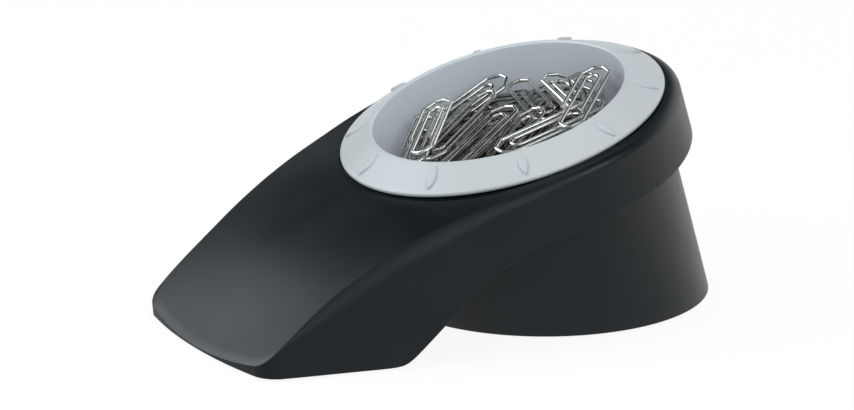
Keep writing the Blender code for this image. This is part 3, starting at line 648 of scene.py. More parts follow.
class Hood:
    """The form of the slipper-shaped hood in the dish's frame."""

    collar_inner = MAGNET_OUTER + GAP
    collar_outer = collar_inner + 0.0015
    land = -0.0016
    land_underside = -0.0042
    shoulder_drop = 0.0003
    rear_drop = 0.0012
    tongue_slope = 0.085
    slope_start = 0.012
    bend_start = 0.036
    nose_radius = 0.131
    nose_corner = 0.0055
    nose_lip = 0.0006
    crown_fade = 0.0300
    rear_edge = 0.0026
    side_edge = 0.0088
    nose_edge = 0.0002
    crease = math.radians(49.0)
    rear_draft = 0.010
    tongue_draft = 0.15
    skirt_depth = 0.0161
    skirt_straight = 0.0148
    skirt_arc = 0.055
    skirt_turn = math.radians(28.0)
    skirt_corner = 0.0016
    lower_edge = 0.0002
    recess_edge = 0.00015

    def __init__(self, sizes):
        self.radius = sizes.radius
        self.wall = sizes.wall
        self.taper = sizes.taper
        self.crown = sizes.crown
        self.recess = FLANGE_RADIUS + sizes.recess_gap
        self.reach = sizes.radius + sizes.tongue
        nose_rise = RIM_CENTRE.z - TABLE_GAP - self.nose_lip - self.reach * math.sin(TILT)
        drop = nose_rise / math.cos(TILT)
        bend = drop - self.shoulder_drop - self.tongue_slope * (self.reach - self.slope_start / 2)
        self.bend_radius = (self.reach - self.bend_start) ** 2 / (2 * bend)

    def side_half_width(self, p):
        """Half the width of the hood at p, without the nose's corners."""
        if p > -self.radius * math.sin(self.taper):
            return math.sqrt(max(self.radius**2 - p**2, 0.0))
        return self.radius / math.cos(self.taper) + p * math.tan(self.taper)

    def top(self, p, y):
        """Height of the upper face, before its shoulder is rounded."""
        back = max(-p, 0.0)
        ramp = min(back, self.slope_start)
        slope = self.tongue_slope * (ramp**2 / (2 * self.slope_start) + back - ramp)
        bend = max(back - self.bend_start, 0.0) ** 2 / (2 * self.bend_radius)
        across = min(1.0, abs(y) / max(self.side_half_width(p), 1e-5))
        crown = self.crown * (1 - across**2) * smooth_step(0.0, self.radius, back)
        crown *= smooth_step(0.0, self.crown_fade, self.reach - back)
        rear = self.rear_drop * smooth_step(-self.radius, self.radius, p)
        return crown - self.shoulder_drop - rear - slope - bend

    def roof(self, p, y):
        """Height of the ceiling inside."""
        return min(self.top(p, y) - self.wall / math.cos(TILT), self.land_underside)

    def skirt(self, p):
        """Height of the lower edge, with a rounded corner where it meets the table line."""
        table = (TABLE_GAP - RIM_CENTRE.z) / math.cos(TILT) - p * math.tan(TILT)
        back = max(-p - self.skirt_straight, 0.0)
        curved = min(back, self.skirt_arc * math.sin(self.skirt_turn))
        drop = self.skirt_arc - math.sqrt(self.skirt_arc**2 - curved**2)
        edge = -self.skirt_depth - drop - (back - curved) * math.tan(self.skirt_turn)
        apart = edge - table
        return table + (apart + math.sqrt(apart**2 + self.skirt_corner**2)) / 2

    def edge(self, p):
        """Radius of the shoulder's rounding: small at the back, large beside the tongue, none at the nose."""
        back = self.rear_edge + (self.side_edge - self.rear_edge) * smooth_step(0.0, self.radius, -p)
        nose = smooth_step(self.reach - 5 * self.nose_corner, self.reach - self.nose_corner, -p)
        return back + (self.nose_edge - back) * nose

    def edge_start(self, p):
        """Slope from which the shoulder's rounding runs. Beside the tongue it starts past a crease."""
        return math.pi / 2 - self.crease * smooth_step(0.0, 0.6 * self.radius, -p)

    def outline(self, offset):
        """Half the plan outline from back to nose, pushed outwards by offset."""
        nose_centre = -self.reach + self.nose_radius
        slope = math.tan(self.taper)
        level = (self.radius - self.nose_corner) / math.cos(self.taper)
        a = 1 + slope**2
        b = 2 * (level * slope - nose_centre)
        c = nose_centre**2 + level**2 - (self.nose_radius - self.nose_corner) ** 2
        corner_p = (-b - math.sqrt(b * b - 4 * a * c)) / (2 * a)
        corner = (corner_p, level + slope * corner_p)
        nose_angle = math.pi - math.atan2(corner[1], nose_centre - corner_p)
        side_angle = math.pi / 2 + self.taper
        rear = arc((0.0, 0.0), self.radius + offset, 0.0, side_angle, 96)
        turn = arc(corner, self.nose_corner + offset, side_angle, nose_angle, 16)
        nose = arc((nose_centre, 0.0), self.nose_radius + offset, nose_angle, math.pi, 30)
        side = [between(rear[-1], turn[0], i / 56) for i in range(1, 56)]
        half = rear + side + turn + nose[1:]
        return half + [(p, -y) for p, y in reversed(half[1:-1])]

    def rings(self):
        plan = self.outline(0.0)
        unit = self.outline(0.001)
        outward = [((b[0] - a[0]) / 0.001, (b[1] - a[1]) / 0.001) for a, b in zip(plan, unit)]
        radii = [self.edge(p) for p, _ in plan]
        starts = [self.edge_start(p) for p, _ in plan]

        def pushed(distances):
            return [(p + w[0] * d, y + w[1] * d) for (p, y), w, d in zip(plan, outward, distances)]

        def circle(radius):
            return [(p * radius / math.hypot(p, y), y * radius / math.hypot(p, y)) for p, y in plan]

        def level(points, height):
            return [(p, y, height) for p, y in points]

        def on_top(points, drop=0.0):
            return [(p, y, self.top(p, y) - drop) for p, y in points]

        # Collar and recess
        small = 0.0003
        rings = [
            level(circle(self.collar_inner + small), COLLAR_BOTTOM),
            level(circle(self.collar_inner), COLLAR_BOTTOM + small),
            level(circle(self.collar_inner), self.land - small),
            level(circle(self.collar_inner + small), self.land),
            level(circle((self.collar_inner + self.recess) / 2), self.land),
            level(circle(self.recess), self.land),
            on_top(circle(self.recess), self.recess_edge),
        ]
        recess_top = circle(self.recess + self.recess_edge)
        shoulder = pushed([radius * (math.cos(start) - 1) for radius, start in zip(radii, starts)])
        rings += [on_top(ring) for ring in [recess_top, *bridged(recess_top, shoulder, count=22)]]

        # Shoulder, wall and lower edge
        tops = [height for _, _, height in rings[-1]]
        steps = 10
        for step in range(1, steps + 1):
            angles = [start * (1 - step / steps) for start in starts]
            points = pushed([radius * (math.cos(angle) - 1) for radius, angle in zip(radii, angles)])
            drops = [radius * (math.sin(start) - math.sin(angle))
                     for radius, start, angle in zip(radii, starts, angles)]
            rings.append([(p, y, top - drop) for (p, y), top, drop in zip(points, tops, drops)])
        wall_top = rings[-1]
        foot = []
        more_draft = self.tongue_draft - self.rear_draft
        for (p, y, height), way in zip(wall_top, outward):
            draft = self.rear_draft + more_draft * smooth_step(0.0, self.radius, -p)
            low = self.skirt(p)
            for _ in range(5):
                low = self.skirt(p + way[0] * draft * (height - low))
            spread = draft * (height - low)
            foot.append((p + way[0] * spread, y + way[1] * spread, low))

        def lower(inset, rise):
            """The lower edge moved inwards and upwards."""
            return [(p - w[0] * inset, y - w[1] * inset, h + rise) for (p, y, h), w in zip(foot, outward)]

        rings += bridged(wall_top, lower(0.0, self.lower_edge), count=12)
        for degrees in (30, 60, 90):
            turn = math.radians(degrees)
            inset, rise = (self.lower_edge * (1 - way(turn)) for way in (math.cos, math.sin))
            rings.append(lower(inset, rise))
        rings.append(lower(self.wall - small, 0.0))
        rings.append(lower(self.wall, small))

        # Inside: wall, ceiling and the outside of the collar
        ceiling = pushed([-self.wall] * len(plan))
        ceiling = [(p, y, self.roof(p, y)) for p, y in ceiling]
        rings += bridged(rings[-1], ceiling, count=6)
        collar = circle(self.collar_outer)
        for points in bridged([point[:2] for point in ceiling], collar, count=14):
            rings.append([(p, y, self.roof(p, y)) for p, y in points])
        rings.append(level(collar, COLLAR_BOTTOM + small))
        rings.append(level(circle(self.collar_outer - small), COLLAR_BOTTOM))
        return rings


def foot_post(hood, node):
    """The post over a front foot, cut off along the middle of the hood's roof."""
    x, y, radius = seen_from_above(node)
    inverse = DISH_FRAME.inverted()
    bottom, height = FOOT_TOP + GAP, 0.04

    def roof_middle(x_at, y_at):
        """The point halfway through the hood's roof above a point of the table."""
        p = (inverse @ Vector((x_at, y_at, 0.015))).x
        for _ in range(6):
            point = DISH_FRAME @ Vector((p, y_at, hood.top(p, y_at)))
            p += (x_at - point.x) / math.cos(TILT)
        return Vector((point.x, y_at, point.z - hood.wall / 2))

    along = roof_middle(x + radius, y) - roof_middle(x - radius, y)
    across = roof_middle(x, y + radius) - roof_middle(x, y - radius)
    shape = upright(x, y, radius, bottom, bottom + height, segments=48)
    every = shape.verts[:] + shape.edges[:] + shape.faces[:]
    bmesh.ops.bisect_plane(
        shape, geom=every, plane_co=roof_middle(x, y), plane_no=along.cross(across).normalized(),
        clear_outer=True)
    bmesh.ops.holes_fill(shape, edges=shape.edges[:])
    bmesh.ops.recalc_face_normals(shape, faces=shape.faces)
    return add_object(f"post_over_{node}", smooth_mesh(node, shape))


class CLIPHOLDER_OT_hood(bpy.types.Operator):
    """Builds the slipper-shaped hood"""

    bl_idname = "clip_holder.hood"
    bl_label = "Hood"

    def execute(self, context):
        hood = Hood(settings("hood"))
        shell = add_object("hood_shell", lofted("hood_shell", hood.rings(), True))
        posts = [foot_post(hood, node) for node in ("front_foot_left", "front_foot_right")]
        cut_or_joined(shell, posts, "UNION")
        dress(shell, "body", "dark_plastic", "soft_black", "hood")
        return {"FINISHED"}


# Base


def base_axis_x(z):
    """Where the dish axis passes a height above the table."""
    return RIM_CENTRE.x + (RIM_CENTRE.z - z) * math.tan(TILT)


class CLIPHOLDER_OT_base(bpy.types.Operator):
    """Builds the tilted base tube with its screw posts"""

    bl_idname = "clip_holder.base"
    bl_label = "Base tube"

    wall = 0.0020
    edge = 0.0004
    post_radius = 0.0032
    post_cap = 0.0018
    web = 0.0016

    def rings(self):
        steps = 240
        inner = BASE_RADIUS - self.wall
        small = 0.0003
        angles = [2 * math.pi * i / steps for i in range(steps)]

        def floor_at(radius, rise):
            """The tube's foot, level with the table."""
            made = []
            for a in angles:
                p = radius * math.cos(a)
                low = (TABLE_GAP + rise - RIM_CENTRE.z) / math.cos(TILT) - p * math.tan(TILT)
                made.append((p, radius * math.sin(a), low))
            return made

        def level(radius, height):
            return [(radius * math.cos(a), radius * math.sin(a), height) for a in angles]

        outer_top = level(BASE_RADIUS, BASE_TOP - small)
        outer_foot = floor_at(BASE_RADIUS, self.edge)
        inner_top = level(inner, BASE_TOP - small)
        inner_foot = floor_at(inner, small)
        rings = [inner_top, level(inner + small, BASE_TOP), level(BASE_RADIUS - small, BASE_TOP), outer_top]
        rings += bridged(outer_top, outer_foot, count=14)
        for degrees in (22, 45, 68, 90):
            turn = math.radians(degrees)
            radius = BASE_RADIUS - self.edge * (1 - math.cos(turn))
            rings.append(floor_at(radius, self.edge * (1 - math.sin(turn))))
        rings += [floor_at(inner + small, 0.0), inner_foot]
        return rings + bridged(inner_foot, inner_top, count=6)[:-1]

    def post(self, number):
        """A screw post with the web that ties it to the wall."""
        node = f"plate_screw_{number}"
        x, y, _ = seen_from_above(node)
        bottom, top = PLATE_TOP + GAP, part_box(node)[1].z + self.post_cap
        post = add_object(
            f"post_{number}",
            smooth_mesh("post", upright(x, y, self.post_radius, bottom, top, segments=40)))
        centre = Vector((base_axis_x((bottom + top) / 2), 0.0))
        way = (Vector((x, y)) - centre).normalized()
        reach = BASE_RADIUS - self.wall / 2
        # Along the holder the leaning tube's wall is further out
        if abs(way.x) > 0.9:
            reach /= math.cos(TILT)
        length = reach - (Vector((x, y)) - centre).length
        place = Matrix.Translation((x, y, 0.0)) @ Matrix.Rotation(math.atan2(way.y, way.x), 4, "Z")
        place = place @ Matrix.Translation((length / 2, 0.0, (bottom + top) / 2))
        return [post, block(f"web_{number}", (length, self.web, top - bottom), place)]

    def execute(self, context):
        shell = add_object("base_shell", lofted("base_shell", self.rings(), True))
        tools = [tool for number in (1, 2, 3) for tool in self.post(number)]
        cut_or_joined(shell, tools, "UNION")
        dress(shell, "body", "dark_plastic", "soft_black", "base_tube")
        return {"FINISHED"}


class CLIPHOLDER_OT_underside(bpy.types.Operator):
    """Builds the ballast, the screws and the feet, and finishes the bottom plate"""

    bl_idname = "clip_holder.underside"
    bl_label = "Ballast, screws and feet"

    shank = 0.0013
    thread_depth = 0.00025
    thread_turns = 11
    slot_width = 0.0007
    slot_height = 0.0012

    def ballast(self):
        low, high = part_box("ballast_disc")
        x, _, radius = seen_from_above("ballast_disc")
        bore, small = 0.0043, 0.0004
        profile = [
            (bore + small, high.z), (radius - small, high.z), (radius, high.z - small),
            (radius, low.z + small), (radius - small, low.z), (bore + small, low.z), (bore, low.z + small),
            (bore, high.z - small),
        ]
        place = Matrix.Translation((x, 0.0, 0.0))
        disc = add_object("ballast_weight", turned("ballast_weight", profile, True, 160, place))
        dress(disc, "body", "ballast_steel", "ballast", "ballast_disc")

    def screws(self, tree):
        """Round-headed screws with a cross slot and a cut thread, turned once and copied to each place."""
        low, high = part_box("plate_screw_1")
        head = seen_from_above("plate_screw_1")[2]
        bottom, under, top = low.z, FOOT_TOP, high.z
        small = 0.0002
        point, neck = 0.0006, 0.0004
        profile = [(0.0, top), (self.shank * 0.35, top)]
        for i in range(self.thread_turns):
            z = top - point - i * (top - under - point - neck) / self.thread_turns
            profile += [(self.shank - self.thread_depth, z), (self.shank, z - small)]
        profile += [(self.shank, under + small), (head - small, under), (head, under - small)]
        rounding = 0.0005
        profile += arc((head - rounding, bottom + rounding), rounding, 0.0, -math.pi / 2, 5)
        profile += [(0.0, bottom)]
        screw = add_object("screw_master", turned("screw_master", profile, False, 40, Matrix()))
        bars = []
        for angle in (0.0, math.pi / 2):
            place = Matrix.Translation((0.0, 0.0, bottom)) @ Matrix.Rotation(angle, 4, "Z")
            bars.append(block("bar", (head * 1.15, self.slot_width, self.slot_height), place))
        cut_or_joined(screw, bars, "DIFFERENCE")
        nodes = [f"plate_screw_{number}" for number in (1, 2, 3)]
        places = [self.middle(node) for node in nodes]
        turns = [(0.0, 0.0, 0.7 * number) for number in range(3)]
        made = points_object("plate_screws", places, turns, ("size", "FLOAT_VECTOR", [1.0] * 9))
        tree.run(made, Piece=screw, Finish=finish("screw"))
        bpy.data.objects.remove(screw)
        dress(made, "body", "screw_steel", "screw", *nodes)

    def middle(self, node):
        """The point of the table under a CAD node's middle."""
        x, y, _ = seen_from_above(node)
        return x, y, 0.0

    def feet(self, tree):
        """Round pads with a soft edge and a shallow ring groove.

        The pad has unit radius and is scaled for each place, so its radii are shares of the foot's.
        """
        edge, edge_height = 0.09, 0.0004
        ring, half_ring, ring_depth = 0.70, 0.05, 0.00025
        height = FOOT_TOP
        profile = [(0.0, height), (1 - edge / 2, height), (1.0, height - 0.0002), (1.0, edge_height)]
        for turn in (0.5, 1.0, math.pi / 2):
            profile += [(1.0 - edge * (1 - math.cos(turn)), edge_height * (1 - math.sin(turn)))]
        profile += [(ring + half_ring, 0.0), (ring, ring_depth), (ring - half_ring, 0.0), (0.0, 0.0)]
        pad = add_object("pad_master", turned("pad_master", profile, False, 64, Matrix()))
        nodes = ["base_foot_1", "base_foot_2", "base_foot_3", "front_foot_left", "front_foot_right"]
        sizes = []
        for node in nodes:
            low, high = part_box(node)
            sizes += [(high.x - low.x) / 2, (high.y - low.y) / 2, 1.0]
        places = [self.middle(node) for node in nodes]
        made = points_object("feet", places, [(0.0, 0.0, 0.0)] * 5, ("size", "FLOAT_VECTOR", sizes))
        tree.run(made, Piece=pad, Finish=finish("foot_rubber"))
        bpy.data.objects.remove(pad)
        dress(made, "body", "rubber", "foot_rubber", *nodes)

    def execute(self, context):
        tree = copies_tree()
        self.ballast()
        self.screws(tree)
        self.feet(tree)
        plate = frame["nodes"]["bottom_plate"]
        plate.data.materials.clear()
        plate.data.materials.append(finish("soft_black"))
        return {"FINISHED"}


# Dish


class Dish:
    """The half section of the dish in its own frame."""

    lip = 0.0007
    thickness = 0.0015
    edge = 0.0013
    foot = 0.0024
    draft = math.radians(4.0)
    corner = 0.0045
    bead_width = 0.0006
    bead_height = 0.0012
    rise = 0.0040

    def __init__(self, sizes):
        self.mouth = sizes.mouth
        self.wall = sizes.wall
        self.neck = sizes.mouth + sizes.wall
        self.floor = DISH_BOTTOM + sizes.wall
        self.slope = math.atan2(self.rise, FLANGE_RADIUS - self.mouth - self.lip)
        self.bottom_radius = self.mouth - (self.rise - self.floor - self.lip) * math.tan(self.draft)

    def flange_top(self, radius):
        return (FLANGE_RADIUS - radius) * math.tan(self.slope)

    def profile(self):
        centre = (self.bottom_radius - self.corner, self.floor + self.corner)
        inside = [(0.0, self.floor), (self.bottom_radius - self.corner, self.floor)]
        inside += arc(centre, self.corner, -math.pi / 2, -self.draft, 14)[1:]
        lip_centre = (self.mouth + self.lip, self.rise - self.lip)
        lip = arc(lip_centre, self.lip, math.pi, math.pi / 2 - self.slope, 10)
        half = self.edge / 2
        rim = arc((FLANGE_RADIUS - half, -half), half, math.pi / 2 - self.slope, -math.pi / 2, 12)
        foot = FLANGE_RADIUS - self.foot
        bead = MAGNET_BOTTOM - GAP
        under = [
            (foot, -self.edge),
            (foot, self.flange_top(foot) - self.thickness),
            (self.neck, self.flange_top(self.neck) - self.thickness),
            (self.neck, bead),
            (self.neck + self.bead_width, bead),
            (self.neck + self.bead_width, bead - self.bead_height / 2),
            (self.neck, bead - self.bead_height),
        ]
        outside = arc(centre, self.corner + self.wall, -self.draft, -math.pi / 2, 14)
        outside += [(0.0, self.floor - self.wall)]
        return divided(inside + lip + rim + under + outside, 0.0016)


class CLIPHOLDER_OT_dish(bpy.types.Operator):
    """Builds the grey dish"""

    bl_idname = "clip_holder.dish"
    bl_label = "Dish"

    def execute(self, context):
        dish = Dish(settings("dish"))
        shell = add_object("dish_shell", turned("dish_shell", dish.profile(), False, 288))
        dress(shell, "dish", "pale_plastic", "pale_grey", "dish")
        return {"FINISHED"}


class CLIPHOLDER_OT_grips(bpy.types.Operator):
    """Builds the raised leaf-shaped grips on the flange"""

    bl_idname = "clip_holder.grips"
    bl_label = "Grips"

    def leaf(self, sizes, dish):
        """One grip at the origin of the ring, with its skirt sunk into the flange."""
        along, across = 36, 14
        middle = (FLANGE_RADIUS + dish.mouth + dish.lip) / 2
        sunk, blunt = 0.0004, 0.00004
        rings = []
        for i in range(along + 1):
            u = 2 * i / along - 1
            half = sizes.grip_width / 2 * (1 - u * u) + blunt
            peak = sizes.grip_height * (1 - u**4) ** 0.5
            top = []
            for j in range(across + 1):
                v = 2 * j / across - 1
                top.append((u * sizes.grip_length / 2, v * half, peak * (1 - v**4) ** 0.6))
            ends = [(top[-1][0], top[-1][1], -sunk), (top[0][0], top[0][1], -sunk)]
            rings.append(top + ends)
        tip = Matrix.Translation((0.0, 0.0, dish.flange_top(middle))) @ Matrix.Rotation(dish.slope, 4, "Y")
        mesh = lofted("leaf_master", rings, False, tip, capped=True, angle=math.radians(50))
        return add_object("leaf_master", mesh), middle

    def execute(self, context):
        sizes = settings("dish")
        dish = Dish(sizes)
        leaf, middle = self.leaf(sizes, dish)
        grips = add_object("grips", bpy.data.meshes.new("grips"))
        ring_tree().run(grips, Piece=leaf, Count=sizes.grips, Radius=middle, Finish=finish("pale_grey"))
        bpy.data.objects.remove(leaf)
        grips.data.transform(DISH_FRAME @ Matrix.Rotation(sizes.grip_turn, 4, "Z"))
        dress(grips, "dish", "pale_plastic", "pale_grey")
        return {"FINISHED"}


class CLIPHOLDER_OT_magnet(bpy.types.Operator):
    """Builds the magnet ring under the flange"""

    bl_idname = "clip_holder.magnet"
    bl_label = "Magnet ring"

    def execute(self, context):
        inner = settings("dish").mouth + settings("dish").wall + GAP
        small = 0.00025
        bottom, top = MAGNET_BOTTOM, MAGNET_TOP
        profile = [
            (inner + small, top), (MAGNET_OUTER - small, top), (MAGNET_OUTER, top - small),
            (MAGNET_OUTER, bottom + small), (MAGNET_OUTER - small, bottom), (inner + small, bottom),
            (inner, bottom + small), (inner, top - small),
        ]
        ring = add_object("magnet_band", turned("magnet_band", profile, True, 200))
        dress(ring, "magnet_carrier", "ferrite", "ferrite_ring", "magnet_ring")
        return {"FINISHED"}


# Clips


def clip_line(sizes):
    """Corners of a clip's centre line, flat in its own XY plane."""
    outer = sizes.width / 2 - sizes.wire
    inner = outer - sizes.step
    half = sizes.length / 2 - sizes.wire
    # Depth and straight part of an end, as shares of the distance between its legs
    depth_share, flat = 0.36, 0.36
    # How far the two loose legs reach past the middle, as shares of half the length
    first_leg, last_leg = 0.30, 0.45

    def end(x, start, stop):
        """The trapezoid bend at one end, from the leg at y = start to the leg at y = stop."""
        depth = math.copysign(depth_share * abs(start - stop), x)
        first = start + (stop - start) * (1 - flat) / 2
        second = stop - (stop - start) * (1 - flat) / 2
        return [(x - depth, start), (x, first), (x, second), (x - depth, stop)]

    points = [(-first_leg * half, outer)]
    points += end(half, outer, -outer)
    points += end(-half, -outer, inner)
    points += end(half - 2 * sizes.step, inner, -inner)
    points += [(-last_leg * half, -inner)]
    return points


def clip_place(node, corners):
    """The place of a CAD clip in the dish's frame, from how its vertices lie about their middle."""
    inverse = DISH_FRAME.inverted()
    vertices = np.array([inverse @ vertex.co for vertex in frame["nodes"][node].data.vertices])
    vertices = np.unique(np.round(vertices, 6), axis=0)

    def axes(points):
        """The middle and main axes of a cloud of points, each pointing to the side with the longer tail."""
        middle = points.mean(axis=0)
        _, ways = np.linalg.eigh(np.cov((points - middle).T))
        first, second = ways[:, 2], ways[:, 1]
        first = first * np.sign(np.sum(((points - middle) @ first) ** 3))
        second = second * np.sign(np.sum(((points - middle) @ second) ** 3))
        return middle, np.column_stack([first, second, np.cross(first, second)])

    flat_middle, flat_axes = axes(np.array([(x, y, 0.0) for x, y in corners]))
    middle, turned_axes = axes(vertices)
    turn = turned_axes @ flat_axes.T
    return Matrix.Translation(Vector(middle - turn @ flat_middle)) @ Matrix(turn.tolist()).to_4x4()


class Heap:
    """The room in the bowl, as a grid of cells that the wires take up one by one."""

    cell = 0.0003
    # Share of the wire's width kept between centre lines. It is under 1, so a few wires overlap slightly
    clearance = 0.95
    wall_gap = 0.0001
    margin = 4

    def __init__(self, sizes, dish):
        self.flat = np.array([(x, y, 0.0) for x, y in divided(clip_line(sizes), longest=0.0007)])
        stand_off = sizes.wire + self.wall_gap
        self.limit = dish.bottom_radius - stand_off - self.cell
        self.half = math.ceil(dish.bottom_radius / self.cell) + self.margin
        self.bottom = dish.floor
        levels = math.ceil((dish.rise - dish.floor) / self.cell)
        side = 2 * self.half + 1
        self.taken = np.zeros((side, side, levels), dtype=bool)
        # Below this height a wire would sink into the bowl's floor or its rounded corner
        span = (np.arange(side) - self.half) * self.cell
        inside = dish.corner - stand_off
        reach = np.clip(np.hypot(span[:, None], span) - dish.bottom_radius + dish.corner, 0.0, inside)
        ground = dish.floor + dish.corner - np.sqrt(inside**2 - reach**2)
        heights = self.bottom + np.arange(levels) * self.cell
        self.taken |= heights < ground[:, :, None]
        width = 2 * sizes.wire * self.clearance
        cells = math.ceil(width / self.cell)
        steps = np.arange(-cells, cells + 1)
        offsets = np.stack(np.meshgrid(steps, steps, steps, indexing="ij"), axis=-1).reshape(-1, 3)
        self.stamp = offsets[np.linalg.norm(offsets, axis=1) * self.cell < width]

    def cells(self, points):
        """The cells in which points lie."""
        made = np.rint(points / self.cell).astype(int)
        made[:, :2] += self.half
        made[:, 2] = np.rint((points[:, 2] - self.bottom) / self.cell).astype(int)
        return made

    def add(self, place):
        """Takes up the room of a clip."""
        turn = np.array(place.to_3x3())
        cells = self.cells(self.flat @ turn.T + np.array(place.translation))
        filled = (cells[:, None, :] + self.stamp).reshape(-1, 3)
        filled = np.clip(filled, 0, np.array(self.taken.shape) - 1)
        self.taken[filled[:, 0], filled[:, 1], filled[:, 2]] = True

    def lowest(self, turn, centre, top):
        """The lowest height at which a turned clip meets no taken cell and stays under the top, or None."""
        points = self.flat @ turn.T + np.array((*centre, 0.0))
        if np.hypot(points[:, 0], points[:, 1]).max() > self.limit:
            return None
        cells = self.cells(points + np.array((0.0, 0.0, self.bottom)))
        columns = self.taken[cells[:, 0], cells[:, 1]]
        high = round((top - self.bottom) / self.cell) - cells[:, 2].max()
        rows = np.arange(len(cells))
        for level in range(-cells[:, 2].min(), high):
            if not columns[rows, cells[:, 2] + level].any():
                return self.bottom + level * self.cell
        return None


class CLIPHOLDER_OT_clips(bpy.types.Operator):
    """Heaps paper clips in the dish"""

    bl_idname = "clip_holder.clips"
    bl_label = "Paper clips"

    # Attempts past the late share may lean more and lie higher than those before
    tries = 90
    late = 0.8
    late_tries = 16
    reach = 0.72
    lean = math.radians(10)
    late_lean = math.radians(19)
    top_level = 0.0004
    late_top = 0.0018
    # Near the tongue the clips lie along one heading, and many at the back lie across it
    heading_near = math.radians(24)
    heading_far = math.radians(-84)
    far_start = 0.004
    far_share = 0.65
    # Those further out than this share of the bowl's radius lie along its wall
    wall_start = 0.46
    swing = math.radians(16)

    def packed(self, heap, rng, late):
        """The lowest of several places for one more clip, or None where no try finds room."""
        best = None
        lean, top = (self.late_lean, self.late_top) if late else (self.lean, self.top_level)
        for _ in range(self.late_tries if late else self.tries):
            away = self.reach * heap.limit * math.sqrt(rng.random())
            way = rng.uniform(-math.pi, math.pi)
            centre = (away * math.cos(way), away * math.sin(way))
            far = centre[0] > self.far_start and rng.random() < self.far_share
            heading = self.heading_far if far else self.heading_near
            if away > self.wall_start * heap.limit:
                heading = way + math.pi / 2
            heading += rng.gauss(0.0, self.swing) + rng.choice((0.0, math.pi))
            turn = Matrix.Rotation(heading, 3, "Z")
            turn = turn @ Matrix.Rotation(rng.uniform(-lean, lean), 3, "Y")
            turn = turn @ Matrix.Rotation(rng.uniform(-lean, lean), 3, "X")
            height = heap.lowest(np.array(turn), centre, top)
            if height is not None and (best is None or height < best.translation.z):
                best = Matrix.Translation((*centre, height)) @ turn.to_4x4()
        return best

    def heap(self, sizes, dish, nodes):
        """The CAD clips in their places, with more clips packed between them."""
        rng = random.Random(sizes.seed)
        heap = Heap(sizes, dish)
        corners = clip_line(sizes)
        places = [clip_place(node, corners) for node in nodes]
        for place in places:
            heap.add(place)
        for number in range(sizes.extra):
            place = self.packed(heap, rng, number > self.late * sizes.extra)
            if place:
                heap.add(place)
                places.append(place)
        places = [DISH_FRAME @ place for place in places]
        turns = [tuple(place.to_euler()) for place in places]
        return [place.translation for place in places], turns, [rng.random() for _ in places]

    def execute(self, context):
        sizes = settings("clips")
        dish = Dish(settings("dish"))
        corners = clip_line(sizes)
        line_mesh = bpy.data.meshes.new("clip_line")
        edges = [(i, i + 1) for i in range(len(corners) - 1)]
        line_mesh.from_pydata([(x, y, 0.0) for x, y in corners], edges, [])
        line = add_object("clip_line", line_mesh)
        nodes = sorted(node for node in frame["nodes"] if node.startswith("paper_clip_"))
        places, turns, shades = self.heap(sizes, dish, nodes)
        heap = points_object("clip_heap", places, turns, ("shade", "FLOAT", shades))
        wire_tree().run(
            heap, Centre_line=line, Wire_radius=sizes.wire, Bend_radius=sizes.bend, Bend_steps=4, Sides=9,
            Finish=finish("bright_wire"))
        bpy.data.objects.remove(line)
        dress(heap, "dish", "clip_steel", "bright_wire", *nodes)
        return {"FINISHED"}


# Stage


